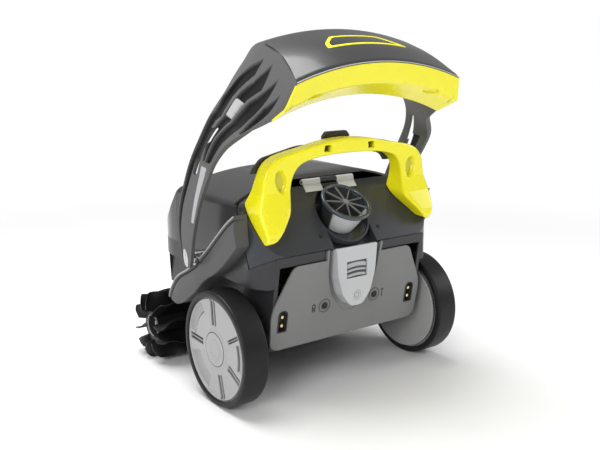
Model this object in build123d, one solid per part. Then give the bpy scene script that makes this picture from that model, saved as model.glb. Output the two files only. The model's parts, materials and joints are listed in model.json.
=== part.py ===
"""Cordless robotic pool cleaner: two driven wheels, a bladed front roller, a jet nozzle on a
hinged rear hatch with a carry handle, and a tall float arch that swings over the machine.

Millimetres. While modelling, y = 0 is the wheel axle, z = 0 the pool floor and x = 0 the plane of
symmetry; +Y is the way the machine drives. Each node is written with the origin moved forward by
ORIGIN_Y, to the middle of the machine's length.
"""

import os
from math import acos, asin, atan2, cos, degrees, pi, radians, sin, tan

from build123d import *

# ---------------------------------------------------------------- driving sizes
ORIGIN_Y = 80.0

WALL = 3.0                      # shell walls
FIT = 0.05                      # radial running clearance of a pin in its bore
SEAT = 0.05                     # gap round an inlaid piece
GAP = 0.5                       # gap between shells that part

# wheels
WHEEL_R = 90.0
WHEEL_W = 42.0
WHEEL_OUT = 216.0               # outer face
RIM_R = 80.0
BARREL_T = 4.0
HUB_T = 8.0
CAP_R = 27.0
AXLE_R = 8.0
BUSH_R = 11.5
COVER_R = 77.0                  # static gear cover on the wheel's inner side
COVER_T = 4.0

# wheel drive
GEAR_MODULE = 2.0
RING_TEETH = 60
PINION_TEETH = 15
PRESSURE = radians(25)
GEAR_W = 9.0
GEAR_IN = WHEEL_OUT - 26.0      # inner face of the gears
BACKLASH = 0.5
PINION_ANGLE = 62.0             # pinion's place round the axle, from +Y towards +Z
MOTOR_R = 17.0
MOTOR_L = 54.0
SHAFT_R = 3.0

# hull
HULL_LOW = 148.0                # half width between the wheels
HULL_HIGH = 174.0               # half width above the wheels
STEP_Z = 188.0
SEAM_Z = 217.0
SEAM_REAR_Z = 237.0
KEEL_Z = 30.0
BASE_Z = 86.0                   # rear panel's lower edge
REAR_Y = -60.4                  # rear panel's face at REAR_Z
REAR_Z = 144.0
REAR_LEAN = 0.155
SEAM_Y = -37.0                  # where the sloped rear part of the seam turns level
CORNER_R = 48.0
COVER_END = 185.0               # top cover to front hood
COVER_KNEE = 150.0              # where the top cover starts to fall towards the nose
COVER_DROP = 44.0               # its fall from there to COVER_END
DOME_Z = 345.0
SIDE_TOP_Z = 308.0             # top of the side walls, where the crown starts
CROWN_R = 14.0

# roller
ROLLER_Y = 232.0
BLADE_R = 60.0
BLADES = 10
BLADE_T = 2.6
TUBE_R = 22.5
SHAFT2_R = 6.0
BRACKET_X = 126.0
BRACKET_T = 9.0
ROLLER_GAP = 2.0

# hatch
HINGE_Y = 0.0
HINGE_Z = 330.0
KNUCKLE_R = 4.5
HINGE_PIN_R = 2.0
DECK_TOP = (-4.0, 325.0)
NOZZLE = (0.0, -50.0, 303.0)    # rim centre
NOZZLE_TILT = 31.7
NOZZLE_R = 41.8
CUP_L = 40.0
CUP_END_R = 27.0
SOCKET_R = 50.0
SHROUD_R = 36.0
CHUTE_HALF = 43.0               # the recess in the deck behind the nozzle
CHUTE_DEPTH = 14.0
PROP_R = 30.0
PUMP_R = 26.0
PUMP_L = 88.0

# sealed boxes
BOX = (58.0, 158.0, 72.0, 186.0)  # y and z limits
BOX_IN = 98.0
CELL_R = 9.0
CELL_L = 106.0

# latch and keys
LATCH_FACE = -77.5
LATCH_HALF = 41.0
LATCH_LOW = 140.0
BUTTON_HALF = 20.0
BUTTON_Z = (186.0, 212.0)
KEY_R = 8.0
KEY_Z = 157.0

# carry handle
GRIP_TOP = 401.5
GRIP_H = 23.5
LEG_HALF = 168.0
LINER_T = 5.0                   # dark half on the handle's front
TAB_REAR = -23.5                # rear face of the trigger's tab at rest
TRIGGER_TRAVEL = 4.0
HANDLE_FRONT = -29.0

# arch
PIVOT_Y = 80.0
PIVOT_Z = 214.0
PIVOT_R = 6.0
COLLAR_R = 11.0
ARM_T = 13.0
ARM_IN = WHEEL_OUT - ARM_T
ARCH_TOP = 565.0
ARCH_R = 512.0                  # radius of the top beam's upper line, seen from behind
BEAM_HALF = 155.0
BEAM_H = 98.0
ARCH_WALL = 3.0


# ---------------------------------------------------------------- helpers
def side(points, x0, x1, radii=0):
    """A closed (y, z) outline, filled and run from x0 to x1."""
    low, high = min(x0, x1), max(x0, x1)
    return extrude(Plane.YZ.offset(low) * closed(points, radii), high - low)


def front(points, y0, y1, radii=0):
    """A closed (x, z) outline, filled and run from y0 to y1."""
    plane = Plane(origin=(0, y1, 0), x_dir=(1, 0, 0), z_dir=(0, -1, 0))
    return extrude(plane * closed(points, radii), y1 - y0)


def plan(points, z0, z1, radii=0):
    """A closed (x, y) outline, filled and run from z0 to z1."""
    return extrude(Plane.XY.offset(z0) * closed(points, radii), z1 - z0)


def closed(points, radii):
    """A face inside an outline whose corners are rounded."""
    if radii == 0:
        return make_face(Polyline(*points, close=True))
    return make_face(FilletPolyline(*points, radius=radii, close=True))


def block(x0, x1, y0, y1, z0, z1):
    """A box between limits."""
    size = (x1 - x0, y1 - y0, z1 - z0)
    middle = ((x0 + x1) / 2, (y0 + y1) / 2, (z0 + z1) / 2)
    return Pos(*middle) * Box(*size)


def rod(x0, x1, y, z, r, bore=0):
    """A cylinder or tube along X."""
    plane = Plane.YZ.offset(min(x0, x1))
    face = plane * Pos(y, z) * Circle(r)
    if bore:
        face -= plane * Pos(y, z) * Circle(bore)
    return extrude(face, abs(x1 - x0))


def on_axis(s):
    """A plane square to the nozzle's axis, s along it from the rim (out of the nozzle is +)."""
    tilt = radians(NOZZLE_TILT)
    way = Vector(0, -sin(tilt), cos(tilt))
    return Plane(origin=Vector(*NOZZLE) + way * s, x_dir=(1, 0, 0), z_dir=way)


def turned(s0, s1, r0, r1=None, bore=0, bore1=None):
    """A round piece on the nozzle's axis from s0 to s1, straight or tapered, with a bore."""
    r1 = r0 if r1 is None else r1
    bore1 = bore if bore1 is None else bore1
    profile = [(bore, s0), (r0, s0), (r1, s1), (bore1, s1)]
    flat = make_face(Polyline(*profile, close=True))
    return on_axis(0) * revolve(Plane.XZ * flat, Axis.Z)


def rear_y(z):
    """The rear panel's face at a height."""
    return REAR_Y - REAR_LEAN * (z - REAR_Z)


def seam_z(y):
    """The seam's height along its sloped rear part."""
    return SEAM_Z + (SEAM_Y - y) * (SEAM_REAR_Z - SEAM_Z) / (SEAM_Y - rear_y(SEAM_REAR_Z))


def below_seam(gap):
    """Everything under the seam's sloped rear part."""
    points = [(-120, seam_z(rear_y(SEAM_REAR_Z)) - gap), (rear_y(SEAM_REAR_Z), SEAM_REAR_Z - gap),
              (SEAM_Y, SEAM_Z - gap), (SEAM_Y, 0), (-120, 0)]
    return side(points, -200, 200)


def deck_y(z):
    """The deck's outer plane at a height."""
    low = (rear_y(SEAM_REAR_Z), SEAM_REAR_Z)
    return low[0] + (z - low[1]) * (DECK_TOP[0] - low[0]) / (DECK_TOP[1] - low[1])


def plan_outline(half, rear, nose, z0, z1):
    """The hull seen from above: round rear corners and a bowed nose."""
    points = [(-half, rear), (half, rear), (half, nose), (-half, nose)]
    return plan(points, z0, z1, [CORNER_R, CORNER_R, 2 * CORNER_R, 2 * CORNER_R])


# ---------------------------------------------------------------- hull
def tub_profile(inset):
    """The tub's side outline, inset by its wall."""
    i = inset
    panel = WALL
    top = seam_z(rear_y(SEAM_REAR_Z) + panel + i)
    return [
        (rear_y(BASE_Z) + panel + i, BASE_Z + i),
        (60, KEEL_Z + 16 + i),
        (118, KEEL_Z + i),
        (ROLLER_Y - BLADE_R - 6 - i, KEEL_Z + i),
        (ROLLER_Y - BLADE_R - 6 - i, 2 * BLADE_R + 6 + i),
        (262 - i, 2 * BLADE_R + 6 + i),
        (250 - i, SEAM_Z + 1 * (i > 0)),
        (SEAM_Y, SEAM_Z + 1 * (i > 0)),
        (rear_y(top) + panel + i, top + 1 * (i > 0)),
    ]


INLET = (-58.0, 58.0, 84.0, 152.0)
PANEL_WINDOW = 141.0
FLAP_Y = 145.0
FLAP_Z = 60.5


def lower_housing():
    """The tub: walls all round, wheel steps, the inlet in its floor and bosses for the axles."""
    low = side(tub_profile(0), -HULL_LOW, HULL_LOW)
    shoulder = block(-HULL_HIGH, HULL_HIGH, -90, 300, STEP_Z, 300)
    high = side(tub_profile(0), -HULL_HIGH, HULL_HIGH) & shoulder
    outer = low + (high & plan_outline(HULL_HIGH, rear_y(SEAM_REAR_Z), 292, 0, 400))
    inner_low = side(tub_profile(WALL), -HULL_LOW + WALL, HULL_LOW - WALL)
    inner_shoulder = block(-HULL_HIGH, HULL_HIGH, -90, 300, STEP_Z + WALL, 300)
    inner_high = side(tub_profile(WALL), -HULL_HIGH + WALL, HULL_HIGH - WALL) & inner_shoulder
    inner_high &= plan_outline(HULL_HIGH - WALL, rear_y(SEAM_REAR_Z) + WALL, 292 - WALL, 0, 400)
    tub = outer - inner_low - inner_high
    tub -= block(-PANEL_WINDOW, PANEL_WINDOW, -90, -45, 98, 220)
    tub -= block(-LATCH_HALF - 17, LATCH_HALF + 17, -90, -50, 98, 300)
    tub -= block(INLET[0], INLET[1], INLET[2], INLET[3], 0, KEEL_Z + 30)
    py, pz = pinion_centre()
    for s in (-1, 1):
        boss = rod(s * (HULL_LOW - WALL), s * (WHEEL_OUT - WHEEL_W - COVER_T), 0, WHEEL_R, 22)
        tub += boss
        tub -= rod(s * (HULL_LOW - 12), s * WHEEL_OUT, 0, WHEEL_R, AXLE_R + SEAT)
        tub -= rod(s * (HULL_LOW - 12), s * WHEEL_OUT, py, pz, SHAFT_R + 1)
        tub += rod(s * (HULL_HIGH - 12), s * HULL_HIGH, PIVOT_Y, PIVOT_Z, COLLAR_R) & block(-300, 300, -300, 300, 0, SEAM_Z)
        tub -= rod(s * (HULL_HIGH - 10), s * HULL_HIGH, PIVOT_Y, PIVOT_Z, PIVOT_R + SEAT)
    return tub


def panel_outline(grow):
    """The rear panel seen from behind: square foot and shoulders rounded in."""
    g = grow
    points = [
        (-HULL_LOW - g, BASE_Z - g), (HULL_LOW + g, BASE_Z - g), (HULL_LOW + 3 + g, 150),
        (116 + g, 219 + g), (-116 - g, 219 + g), (-HULL_LOW - 3 - g, 150),
    ]
    return points, [16, 16, 60, 14, 14, 60]


CHANNEL_W = 12.0                # the channel round the latch plate
POCKET_FLOOR = -57.0
CONTACT_X = 129.5
CONTACT_Z = 133.0
LENS_X = 51.0


def leaning_slab(y_out, y_in, z0, z1, x0, x1):
    """A slab whose faces lean with the rear panel, y_out and y_in back from its face."""
    points = [
        (rear_y(z0) + y_out, z0), (rear_y(z0) + y_in, z0),
        (rear_y(z1) + y_in, z1), (rear_y(z1) + y_out, z1),
    ]
    return side(points, x0, x1)


def rear_panel():
    """The panel with the latch pocket and seats for the contacts, lenses and key."""
    points, radii = panel_outline(0)
    slab = leaning_slab(0, WALL, BASE_Z - 5, 225, -160, 160)
    panel = slab & front(points, -120, 0, radii)
    well, well_radii = latch_outline(CHANNEL_W + WALL)
    pocket = front(well, LATCH_FACE, POCKET_FLOOR + WALL, well_radii) & leaning_slab(0, 60, 80, 250, -160, 160)
    panel += pocket & below_seam(GAP)
    hollow, hollow_radii = latch_outline(CHANNEL_W)
    hollow[0], hollow[1] = (hollow[0][0], 260), (hollow[1][0], 260)
    panel -= front(hollow, -120, POCKET_FLOOR, hollow_radii)
    for s in (-1, 1):
        panel -= contact_seat(s, SEAT)
        lens_y = rear_y(REAR_Z)
        hole = Pos(s * LENS_X, lens_y, REAR_Z) * Rot(90, 0, 0) * Cylinder(5 + SEAT, 20)
        panel -= hole
    return panel


def contact_outline(s, grow):
    """A contact recess seen from behind: a slot with a round head."""
    x, z, w, h = s * CONTACT_X, CONTACT_Z, 9 + grow, 18 + grow
    return [(x - w, z - h), (x + w, z - h), (x + w, z + h), (x - w, z + h)]


def contact_seat(s, grow):
    """The space that a contact bezel fills."""
    return front(contact_outline(s, grow), -75, -40, [3, 3, 8.5, 8.5])


def contact_bezel(s):
    """A cup let into the rear panel."""
    body = front(contact_outline(s, 0), -75, -40, [3, 3, 8.5, 8.5])
    body &= leaning_slab(-0.8, 12, 80, 220, -160, 160)
    hollow = front(contact_outline(s, -2), -90, -20, [2, 2, 6.5, 6.5])
    hollow &= leaning_slab(-5, 9, 80, 220, -160, 160)
    return body - hollow


def contact_pins(s):
    """Two charging pins standing in the bezel."""
    pins = []
    for dz in (-7, 7):
        y = rear_y(CONTACT_Z + dz) + 5
        pins.append(Pos(s * CONTACT_X, y, CONTACT_Z + dz) * Rot(90, 0, 0) * Cylinder(2.4, 7))
    return pins


def status_lens(s):
    """A round lens let into the rear panel."""
    return Pos(s * LENS_X, rear_y(REAR_Z) + 1.5, REAR_Z) * Rot(90, 0, 0) * Cylinder(5, 6)


def top_cover():
    """The dome behind the hood, open to the rear for the hatch."""
    outer = cover_solid(0)
    cover = outer - cover_solid(WALL) - hinge_relief(60) - hatch_mouth()
    return cover - rod(-HULL_HIGH, HULL_HIGH, PIVOT_Y, PIVOT_Z, PIVOT_R + SEAT)


def nose_z(y, i):
    """The height of the slope towards the nose, inset by i."""
    return DOME_Z - 1 - COVER_DROP * (y - COVER_KNEE) / (COVER_END - COVER_KNEE) - 1.6 * i


def dome_profile(i):
    """The dome's side outline, inset by i."""
    drop = 1 * (i > 0)
    end = COVER_END + 20 * drop
    return [
        (SEAM_Y + 2 - 20 * drop, SEAM_Z + 0.0 - 10 * drop), (end, SEAM_Z - 10 * drop), (end, nose_z(end, i)),
        (COVER_KNEE - 0.5 * i, DOME_Z - 1 - i), (70, DOME_Z - i), (22, DOME_Z - 6 - i),
        (7 - 20 * drop, HINGE_Z + 1 - i),
    ]


def crown(i):
    """The dome and hood seen from behind: upright sides, round shoulders and a gentle crown."""
    half, low, top = HULL_HIGH - i, SIDE_TOP_Z - i, DOME_Z + 1 - i
    walls = Polyline((half, low), (half, 0), (-half, 0), (-half, low))
    arc = ThreePointArc((-half, low), (0, top), (half, low))
    plane = Plane(origin=(0, 320, 0), x_dir=(1, 0, 0), z_dir=(0, -1, 0))
    shape = extrude(plane * make_face([walls, arc]), 440)
    return fillet(shape.edges().filter_by(Axis.Y).group_by(Axis.Z)[-1], CROWN_R)


def cover_solid(i):
    """The dome as a solid, inset by i."""
    half = HULL_HIGH - i
    return side(dome_profile(i), -half, half, [0, 0, 0, 70, 0, 0, 0]) & crown(i)


def hatch_mouth():
    """The mouth that the hatch closes, seen from the side, through the cheeks' inner faces."""
    points = [(SEAM_Y - 30, SEAM_Z - 5), (SEAM_Y + 8, SEAM_Z - 5), (HINGE_Y + 12, HINGE_Z - 8), (-40, HINGE_Z - 8)]
    return side(points, -HULL_HIGH + WALL, HULL_HIGH - WALL)


def hinge_relief(half):
    """Room round the hinge knuckles."""
    return rod(-half, half, HINGE_Y, HINGE_Z, KNUCKLE_R + 1)


def front_hood():
    """The nose shell over the roller."""
    return hood_solid(0) - hood_solid(WALL) - side(tub_profile(0), -HULL_HIGH, HULL_HIGH)


def hood_solid(i):
    """The nose as a solid, inset by i."""
    drop = 30 if i else 0
    points = [
        (COVER_END - drop, SEAM_Z - drop), (COVER_END - drop, nose_z(COVER_END - drop, i)), (214, nose_z(214, i)),
        (256 - i, 226 - i), (288 - i, 188), (290 - i, 160), (282 - i, 138),
        (262, 2 * BLADE_R + 6 - drop), (230, 2 * BLADE_R + 6 - drop),
    ]
    half = HULL_HIGH - i
    shell = side(points, -half, half, [0, 0, 60, 60, 40, 30, 10, 0, 0])
    return shell & crown(i) & plan_outline(half, 60, 292 - i, 0, 400)


def fender_outline(grow):
    """The fender band seen from the side, over the wheel and down to the roller."""
    g = grow
    return [
        (-38 - g, 252), (-30, 300 + g), (8, 270 + g), (40, 240 + g), (88, 203 + g), (146, 170 + g),
        (176 + g, 128), (150, 118 - g), (108, 140 - g), (64, 176 - g), (14, 206 - g),
    ]


def fender(s):
    """A mudguard band along the hull's side."""
    radii = [4, 10, 60, 60, 60, 60, 6, 20, 60, 60, 60]
    outer = side(fender_outline(0), s * HULL_HIGH, s * 200, radii)
    inner_radii = [3, 8, 50, 50, 50, 50, 4, 15, 50, 50, 50]
    inner = side(fender_outline(-WALL), s * (HULL_HIGH - 1), s * (200 - WALL), inner_radii)
    return outer - inner - rod(s * HULL_HIGH, s * ARM_IN, PIVOT_Y, PIVOT_Z, COLLAR_R + 1)


def roller_bracket(s):
    """An arm that drops from the hull between two roller sections."""
    x = s * BRACKET_X
    points = [
        (ROLLER_Y - 18, 2 * BLADE_R + 6), (ROLLER_Y + 18, 2 * BLADE_R + 6),
        (ROLLER_Y + 12, BLADE_R - 12), (ROLLER_Y - 12, BLADE_R - 12),
    ]
    arm = side(points, x - BRACKET_T / 2, x + BRACKET_T / 2, [0, 0, 11, 11])
    return arm - rod(x - 20, x + 20, ROLLER_Y, BLADE_R, SHAFT2_R + FIT)


# ---------------------------------------------------------------- wheels
def pinion_centre():
    """The pinion's centre (y, z)."""
    reach = GEAR_MODULE * (RING_TEETH - PINION_TEETH) / 2
    a = radians(PINION_ANGLE)
    return reach * cos(a), WHEEL_R + reach * sin(a)


def involute(angle):
    """The involute function."""
    return tan(angle) - angle


def gear_points(teeth, inner, phase):
    """A gear's outline round its centre; inner gives the outline of an internal gear's space."""
    pitch = GEAR_MODULE * teeth / 2
    base = pitch * cos(PRESSURE)
    tip = pitch + (1.15 if inner else 0.9) * GEAR_MODULE
    root = pitch - (0.75 if inner else 1.2) * GEAR_MODULE
    slack = BACKLASH / (2 * pitch)
    half = pi / (2 * teeth) + (slack if inner else -slack)
    start = max(root, base)
    flank = []
    for k in range(5):
        r = start + (tip - start) * k / 4
        flank.append((r, half + involute(PRESSURE) - involute(acos(min(1, base / r)))))
    if root < base:
        flank.insert(0, (root, flank[0][1]))
    points = []
    for t in range(teeth):
        middle = phase + 2 * pi * t / teeth
        for r, a in flank:
            points.append((r * cos(middle - a), r * sin(middle - a)))
        for r, a in reversed(flank):
            points.append((r * cos(middle + a), r * sin(middle + a)))
    return points


def tyre(s):
    """Rubber tyre with shallow tread grooves."""
    x0, x1 = WHEEL_OUT - WHEEL_W, WHEEL_OUT
    ring = rod(s * x0, s * x1, 0, WHEEL_R, WHEEL_R, RIM_R + SEAT)
    return chamfer(ring.edges().filter_by(GeomType.CIRCLE).sort_by(lambda e: -e.length)[:2], 2)


def wheel_hub(s):
    """The hub: a dished disc with slots, a barrel, and a boss for the bush."""
    face_in, face_out = WHEEL_OUT - 2 - HUB_T, WHEEL_OUT - 2
    hub = rod(s * face_in, s * face_out, 0, WHEEL_R, RIM_R)
    hub += rod(s * (WHEEL_OUT - WHEEL_W + 4), s * face_out, 0, WHEEL_R, RIM_R, RIM_R - BARREL_T)
    hub += rod(s * (WHEEL_OUT - WHEEL_W + 6), s * face_in, 0, WHEEL_R, BUSH_R + 4)
    hub -= rod(s * 150, s * WHEEL_OUT, 0, WHEEL_R, BUSH_R + SEAT)
    hub -= rod(s * (face_out - 3), s * WHEEL_OUT, 0, WHEEL_R, CAP_R + SEAT)
    for k in range(5):
        a = radians(90 + 72 * k)
        slot = Pos(s * face_out, 0, WHEEL_R) * Rot(degrees(a) - 90, 0, 0) * Pos(0, 0, 56) * Box(6, 7, 36)
        hub -= slot
    return hub


def ring_gear(s):
    """The internal gear inside the rim."""
    x0 = s * GEAR_IN
    body = rod(x0, x0 + s * GEAR_W, 0, WHEEL_R, RIM_R - BARREL_T - SEAT)
    points = gear_points(RING_TEETH, True, radians(PINION_ANGLE))
    space = side([(y, z + WHEEL_R) for y, z in points], x0 - s, x0 + s * (GEAR_W + 1))
    return body - space


def wheel_cap(s):
    """The round cap over the axle's end."""
    x = WHEEL_OUT - 5
    cap = rod(s * x, s * (x + 3), 0, WHEEL_R, CAP_R)
    return cap + rod(s * (x + 3), s * (x + 5), 0, WHEEL_R, CAP_R - 9)


def wheel_bush(s):
    """The plain bearing between hub and axle."""
    return rod(s * (WHEEL_OUT - WHEEL_W + 6), s * (WHEEL_OUT - 6), 0, WHEEL_R, BUSH_R, AXLE_R + FIT)


def wheel_axle(s):
    """The steel stub axle, with a collar inside the hull."""
    axle = rod(s * (HULL_LOW - 10), s * (WHEEL_OUT - 7), 0, WHEEL_R, AXLE_R)
    return axle + rod(s * (HULL_LOW - 10), s * (HULL_LOW - WALL), 0, WHEEL_R, AXLE_R + 4)


def gear_cover(s):
    """The round static cover on the wheel's inner side."""
    x0 = WHEEL_OUT - WHEEL_W - COVER_T
    plate = rod(s * x0, s * (x0 + COVER_T), 0, WHEEL_R, COVER_R, AXLE_R + SEAT)
    py, pz = pinion_centre()
    return plate - rod(s * (x0 - 1), s * (x0 + COVER_T + 1), py, pz, SHAFT_R + 1)


def drive_pinion(s):
    """The pinion and its shaft, in mesh with the internal gear."""
    py, pz = pinion_centre()
    points = gear_points(PINION_TEETH, False, radians(PINION_ANGLE))
    x0 = s * GEAR_IN
    gear = side([(y + py, z + pz) for y, z in points], x0, x0 + s * GEAR_W)
    return gear + rod(s * (HULL_LOW - WALL - 6), x0, py, pz, SHAFT_R)


def drive_motor(s):
    """The gear motor inside the hull."""
    py, pz = pinion_centre()
    x1 = HULL_LOW - WALL
    can = rod(s * (x1 - MOTOR_L), s * x1, py, pz, MOTOR_R)
    return can - rod(s * (x1 - 12), s * (x1 + 1), py, pz, SHAFT_R + FIT)


# ---------------------------------------------------------------- roller
def roller_spans():
    """The limits of the roller's left, middle and right sections."""
    edge = BRACKET_X + BRACKET_T / 2 + ROLLER_GAP
    inner = BRACKET_X - BRACKET_T / 2 - ROLLER_GAP
    return [(-WHEEL_OUT, -edge), (-inner, inner), (edge, WHEEL_OUT)]


def roller_tube(x0, x1):
    """One section of tube with webs to the shaft."""
    lo, hi = max(x0, -204), min(x1, 204)
    tube = rod(lo, hi, ROLLER_Y, BLADE_R, TUBE_R, TUBE_R - 3)
    near = lo if abs(lo) < abs(hi) else hi - 6
    ends = (near,) if x0 * x1 > 0 else (lo, hi - 6)
    for e in ends:
        tube += rod(e, e + 6, ROLLER_Y, BLADE_R, TUBE_R - 2, SHAFT2_R + SEAT)
    return tube


def roller_blades(x0, x1):
    """A rubber sleeve with radial blades."""
    sleeve = rod(max(x0, -204), min(x1, 204), ROLLER_Y, BLADE_R, TUBE_R + 3, TUBE_R + SEAT)
    long = x1 - x0
    for k in range(BLADES):
        reach = BLADE_R - TUBE_R - 1
        fin = Pos(0, 0, TUBE_R + 1 + reach / 2) * Box(long, BLADE_T, reach)
        turn = Rot(360 / BLADES * k, 0, 0)
        sleeve += Pos((x0 + x1) / 2, ROLLER_Y, BLADE_R) * turn * fin
    low = block(x0 - 1, x1 + 1, ROLLER_Y - 70, ROLLER_Y + 70, 0, 130)
    return sleeve & low


def roller_shaft():
    """The steel shaft through all the sections."""
    return rod(-196, 196, ROLLER_Y, BLADE_R, SHAFT2_R)


# ---------------------------------------------------------------- hatch
def hatch_solid(i):
    """The wedge that the hatch fills, inset by i."""
    low = GAP
    points = [
        (deck_y(SEAM_REAR_Z + low), SEAM_REAR_Z + low), DECK_TOP,
        (HINGE_Y - 1, DECK_TOP[1] - 8), (SEAM_Y, SEAM_Z + low),
    ]
    if i:
        points = [
            (rear_y(SEAM_REAR_Z) + i * 1.3, SEAM_REAR_Z - 20), (rear_y(SEAM_REAR_Z) + i * 1.3, SEAM_REAR_Z + low),
            (DECK_TOP[0] - 3, DECK_TOP[1] - 5), (HINGE_Y + 30, DECK_TOP[1] - 5), (HINGE_Y + 30, SEAM_Z - 20),
        ]
    half = HULL_HIGH - i
    wedge = side(points, -half, half) & crown(i)
    return wedge & plan_outline(half, rear_y(SEAM_REAR_Z) + 0.2 + i, 300, 0, 400)


def chute(i):
    """The recess in the deck behind the nozzle, or with an inset the space inside its wall."""
    way = Vector(0, DECK_TOP[0] - rear_y(SEAM_REAR_Z), DECK_TOP[1] - SEAM_REAR_Z).normalized()
    inward = Vector(0, way.Z, -way.Y)
    low = Vector(0, deck_y(SEAM_REAR_Z), SEAM_REAR_Z)
    reach = (Vector(0, NOZZLE[1], NOZZLE[2]) - low).dot(way)
    depth = CHUTE_DEPTH + WALL - i
    corners = [low - way * 40 - inward * 30, low + way * reach - inward * 30,
               low + way * reach + inward * depth, low - way * 40 + inward * depth]
    half = CHUTE_HALF + WALL - i
    return side([(c.Y, c.Z) for c in corners], -half, half)


def deck():
    """The hatch's skin with the socket for the nozzle."""
    skin = hatch_solid(0) - hatch_solid(WALL)
    skin += hatch_solid(0) & chute(0)
    skin -= chute(WALL)
    reach = turned(-48, 30, SOCKET_R)
    skin -= reach
    socket = turned(-48, 30, SOCKET_R, bore=SOCKET_R - WALL) + turned(-48, -45, SOCKET_R, bore=CUP_END_R)
    limit = side([(deck_y(SEAM_REAR_Z + GAP), SEAM_REAR_Z + GAP), DECK_TOP, (60, 318), (60, 200),
                  (SEAM_Y, SEAM_Z + GAP)], -60, 60)
    skin += socket & limit
    skin -= hinge_relief(60)
    for screw in deck_screws(SEAT):
        skin -= screw
    return skin


def nozzle_cup():
    """The tapered cup with its rolled rim."""
    cup = turned(-CUP_L, -5, CUP_END_R, NOZZLE_R - 4, bore=CUP_END_R - 2.5, bore1=NOZZLE_R - 6.5)
    rim = turned(-5, 0, NOZZLE_R, bore=NOZZLE_R - 6.5)
    foot = turned(-45, -CUP_L, CUP_END_R + 2, bore=CUP_END_R - 2.5)
    return cup + rim + foot


def nozzle_grille():
    """Radial vanes and a hub across the nozzle."""
    ring_r = NOZZLE_R - 6.5 - SEAT
    grille = turned(-3.5, -0.8, ring_r, bore=ring_r - 1.6)
    grille += turned(-5, -0.2, 6)
    for k in range(10):
        vane = Pos(ring_r / 2, 0, -2.2) * Box(ring_r - 1.0, 1.4, 2.6)
        grille += on_axis(0) * Rot(0, 0, 36 * k) * vane
    return grille & turned(-6, 1, ring_r)


def handle_front():
    """The carry handle seen from behind."""
    t = GRIP_TOP
    right = [
        (80, t - 9), (146, t - 23), (163, t - 42), (LEG_HALF, t - 72), (LEG_HALF + 8, t - 88),
        (LEG_HALF - 4, t - 147), (130, t - 141), (100, t - 104), (98, t - 50), (88, t - GRIP_H - 10), (50, t - GRIP_H - 1),
    ]
    radii = [120, 20, 30, 10, 6, 4, 14, 20, 14, 20, 200]
    left = [(-x, z) for x, z in reversed(right)]
    return right + left, radii + radii[::-1]


def handle_side():
    """The carry handle seen from the side; it stands on the deck's plane."""
    foot = 254.0
    head = 312.0
    return [
        (deck_y(foot), foot), (-73, 260), (-75, 274), (-62, 306), (-57, 330), (-57, 392), (-49, GRIP_TOP + 1),
        (-35, GRIP_TOP + 1), (HANDLE_FRONT, 392), (HANDLE_FRONT, 352), (-23, 334), (deck_y(head), head),
    ]


def carry_handle():
    """The carry handle, with two windows in the grip and a pocket for the trigger."""
    outline, radii = handle_front()
    shape = front(outline, -110, 20, radii)
    shape &= side(handle_side(), -190, 190, [0, 3, 10, 40, 30, 8, 6, 6, 8, 20, 20, 0])
    shape -= block(-14.4, 14.4, -41, -20, 383.6, 394.4)
    for s in (-1, 1):
        shape -= block(s * 43 - 5, s * 43 + 5, -70, -20, 384, 392)
    return shape


def handle_liner():
    """The dark half that closes the carry handle's front, with a slot for the trigger's stem and
    a recess for its tab."""
    outline, radii = handle_front()
    shape = front(outline, HANDLE_FRONT, HANDLE_FRONT + LINER_T, radii)
    shape &= block(-200, 200, -60, 0, 357, GRIP_TOP - 1.5)
    shape -= block(-26.5, 26.5, TAB_REAR - TRIGGER_TRAVEL - 0.5, 0, 377.5, GRIP_TOP + 1)
    return shape - block(-14.4, 14.4, -60, 0, 383.6, 394.4)


def handle_trigger():
    """The dark tab in front of the grip, with its stem in the grip's pocket."""
    tab = front([(-26, 378), (26, 378), (26, 402), (20, 409), (-20, 409), (-26, 402)], TAB_REAR, TAB_REAR + 7,
                [4, 4, 4, 4, 4, 4])
    return tab + block(-14, 14, TAB_REAR - 12, TAB_REAR, 384, 394)


def coil(y0, y1, x, z, radius, wire, turns):
    """A spring along Y."""
    length = y1 - y0 - wire
    path = Helix(pitch=length / turns, height=length, radius=radius)
    section = Plane(origin=path @ 0, z_dir=path % 0) * Circle(wire / 2)
    spring = sweep(section, path=path)
    return Pos(x, y1 - wire / 2, z) * Rot(90, 0, 0) * spring


def trigger_spring():
    """The spring behind the trigger's stem."""
    return coil(-40.6, -35.9, 0, 389, 3.2, 0.8, 3)


def hinge_strips():
    """The hatch's two leaves with their knuckles."""
    strips = []
    for s in (-1, 1):
        knuckle = rod(s * 17, s * 51, HINGE_Y, HINGE_Z, KNUCKLE_R, HINGE_PIN_R + FIT)
        leaf = side([(-1.5, HINGE_Z - 3), (-4.4, HINGE_Z - 1), (-4.6, HINGE_Z - 4), (deck_y(316) - 2, 316), (deck_y(316), 316),
                     DECK_TOP], s * 17, s * 51)
        strips.append((knuckle + leaf) - rod(s * 10, s * 60, HINGE_Y, HINGE_Z, HINGE_PIN_R + FIT))
    return strips


def cover_knuckle():
    """The fixed knuckle between the leaves."""
    barrel = rod(-16, 16, HINGE_Y, HINGE_Z, KNUCKLE_R)
    web = side([(2, HINGE_Z - 3), (12, HINGE_Z - 1), (12, HINGE_Z + 3), (2, HINGE_Z + 3.5)], -16, 16)
    web -= cover_solid(0)
    return barrel + web - rod(-20, 20, HINGE_Y, HINGE_Z, HINGE_PIN_R + SEAT / 2)


def hinge_pin():
    """The steel hinge pin."""
    return rod(-52, 52, HINGE_Y, HINGE_Z, HINGE_PIN_R)


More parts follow.
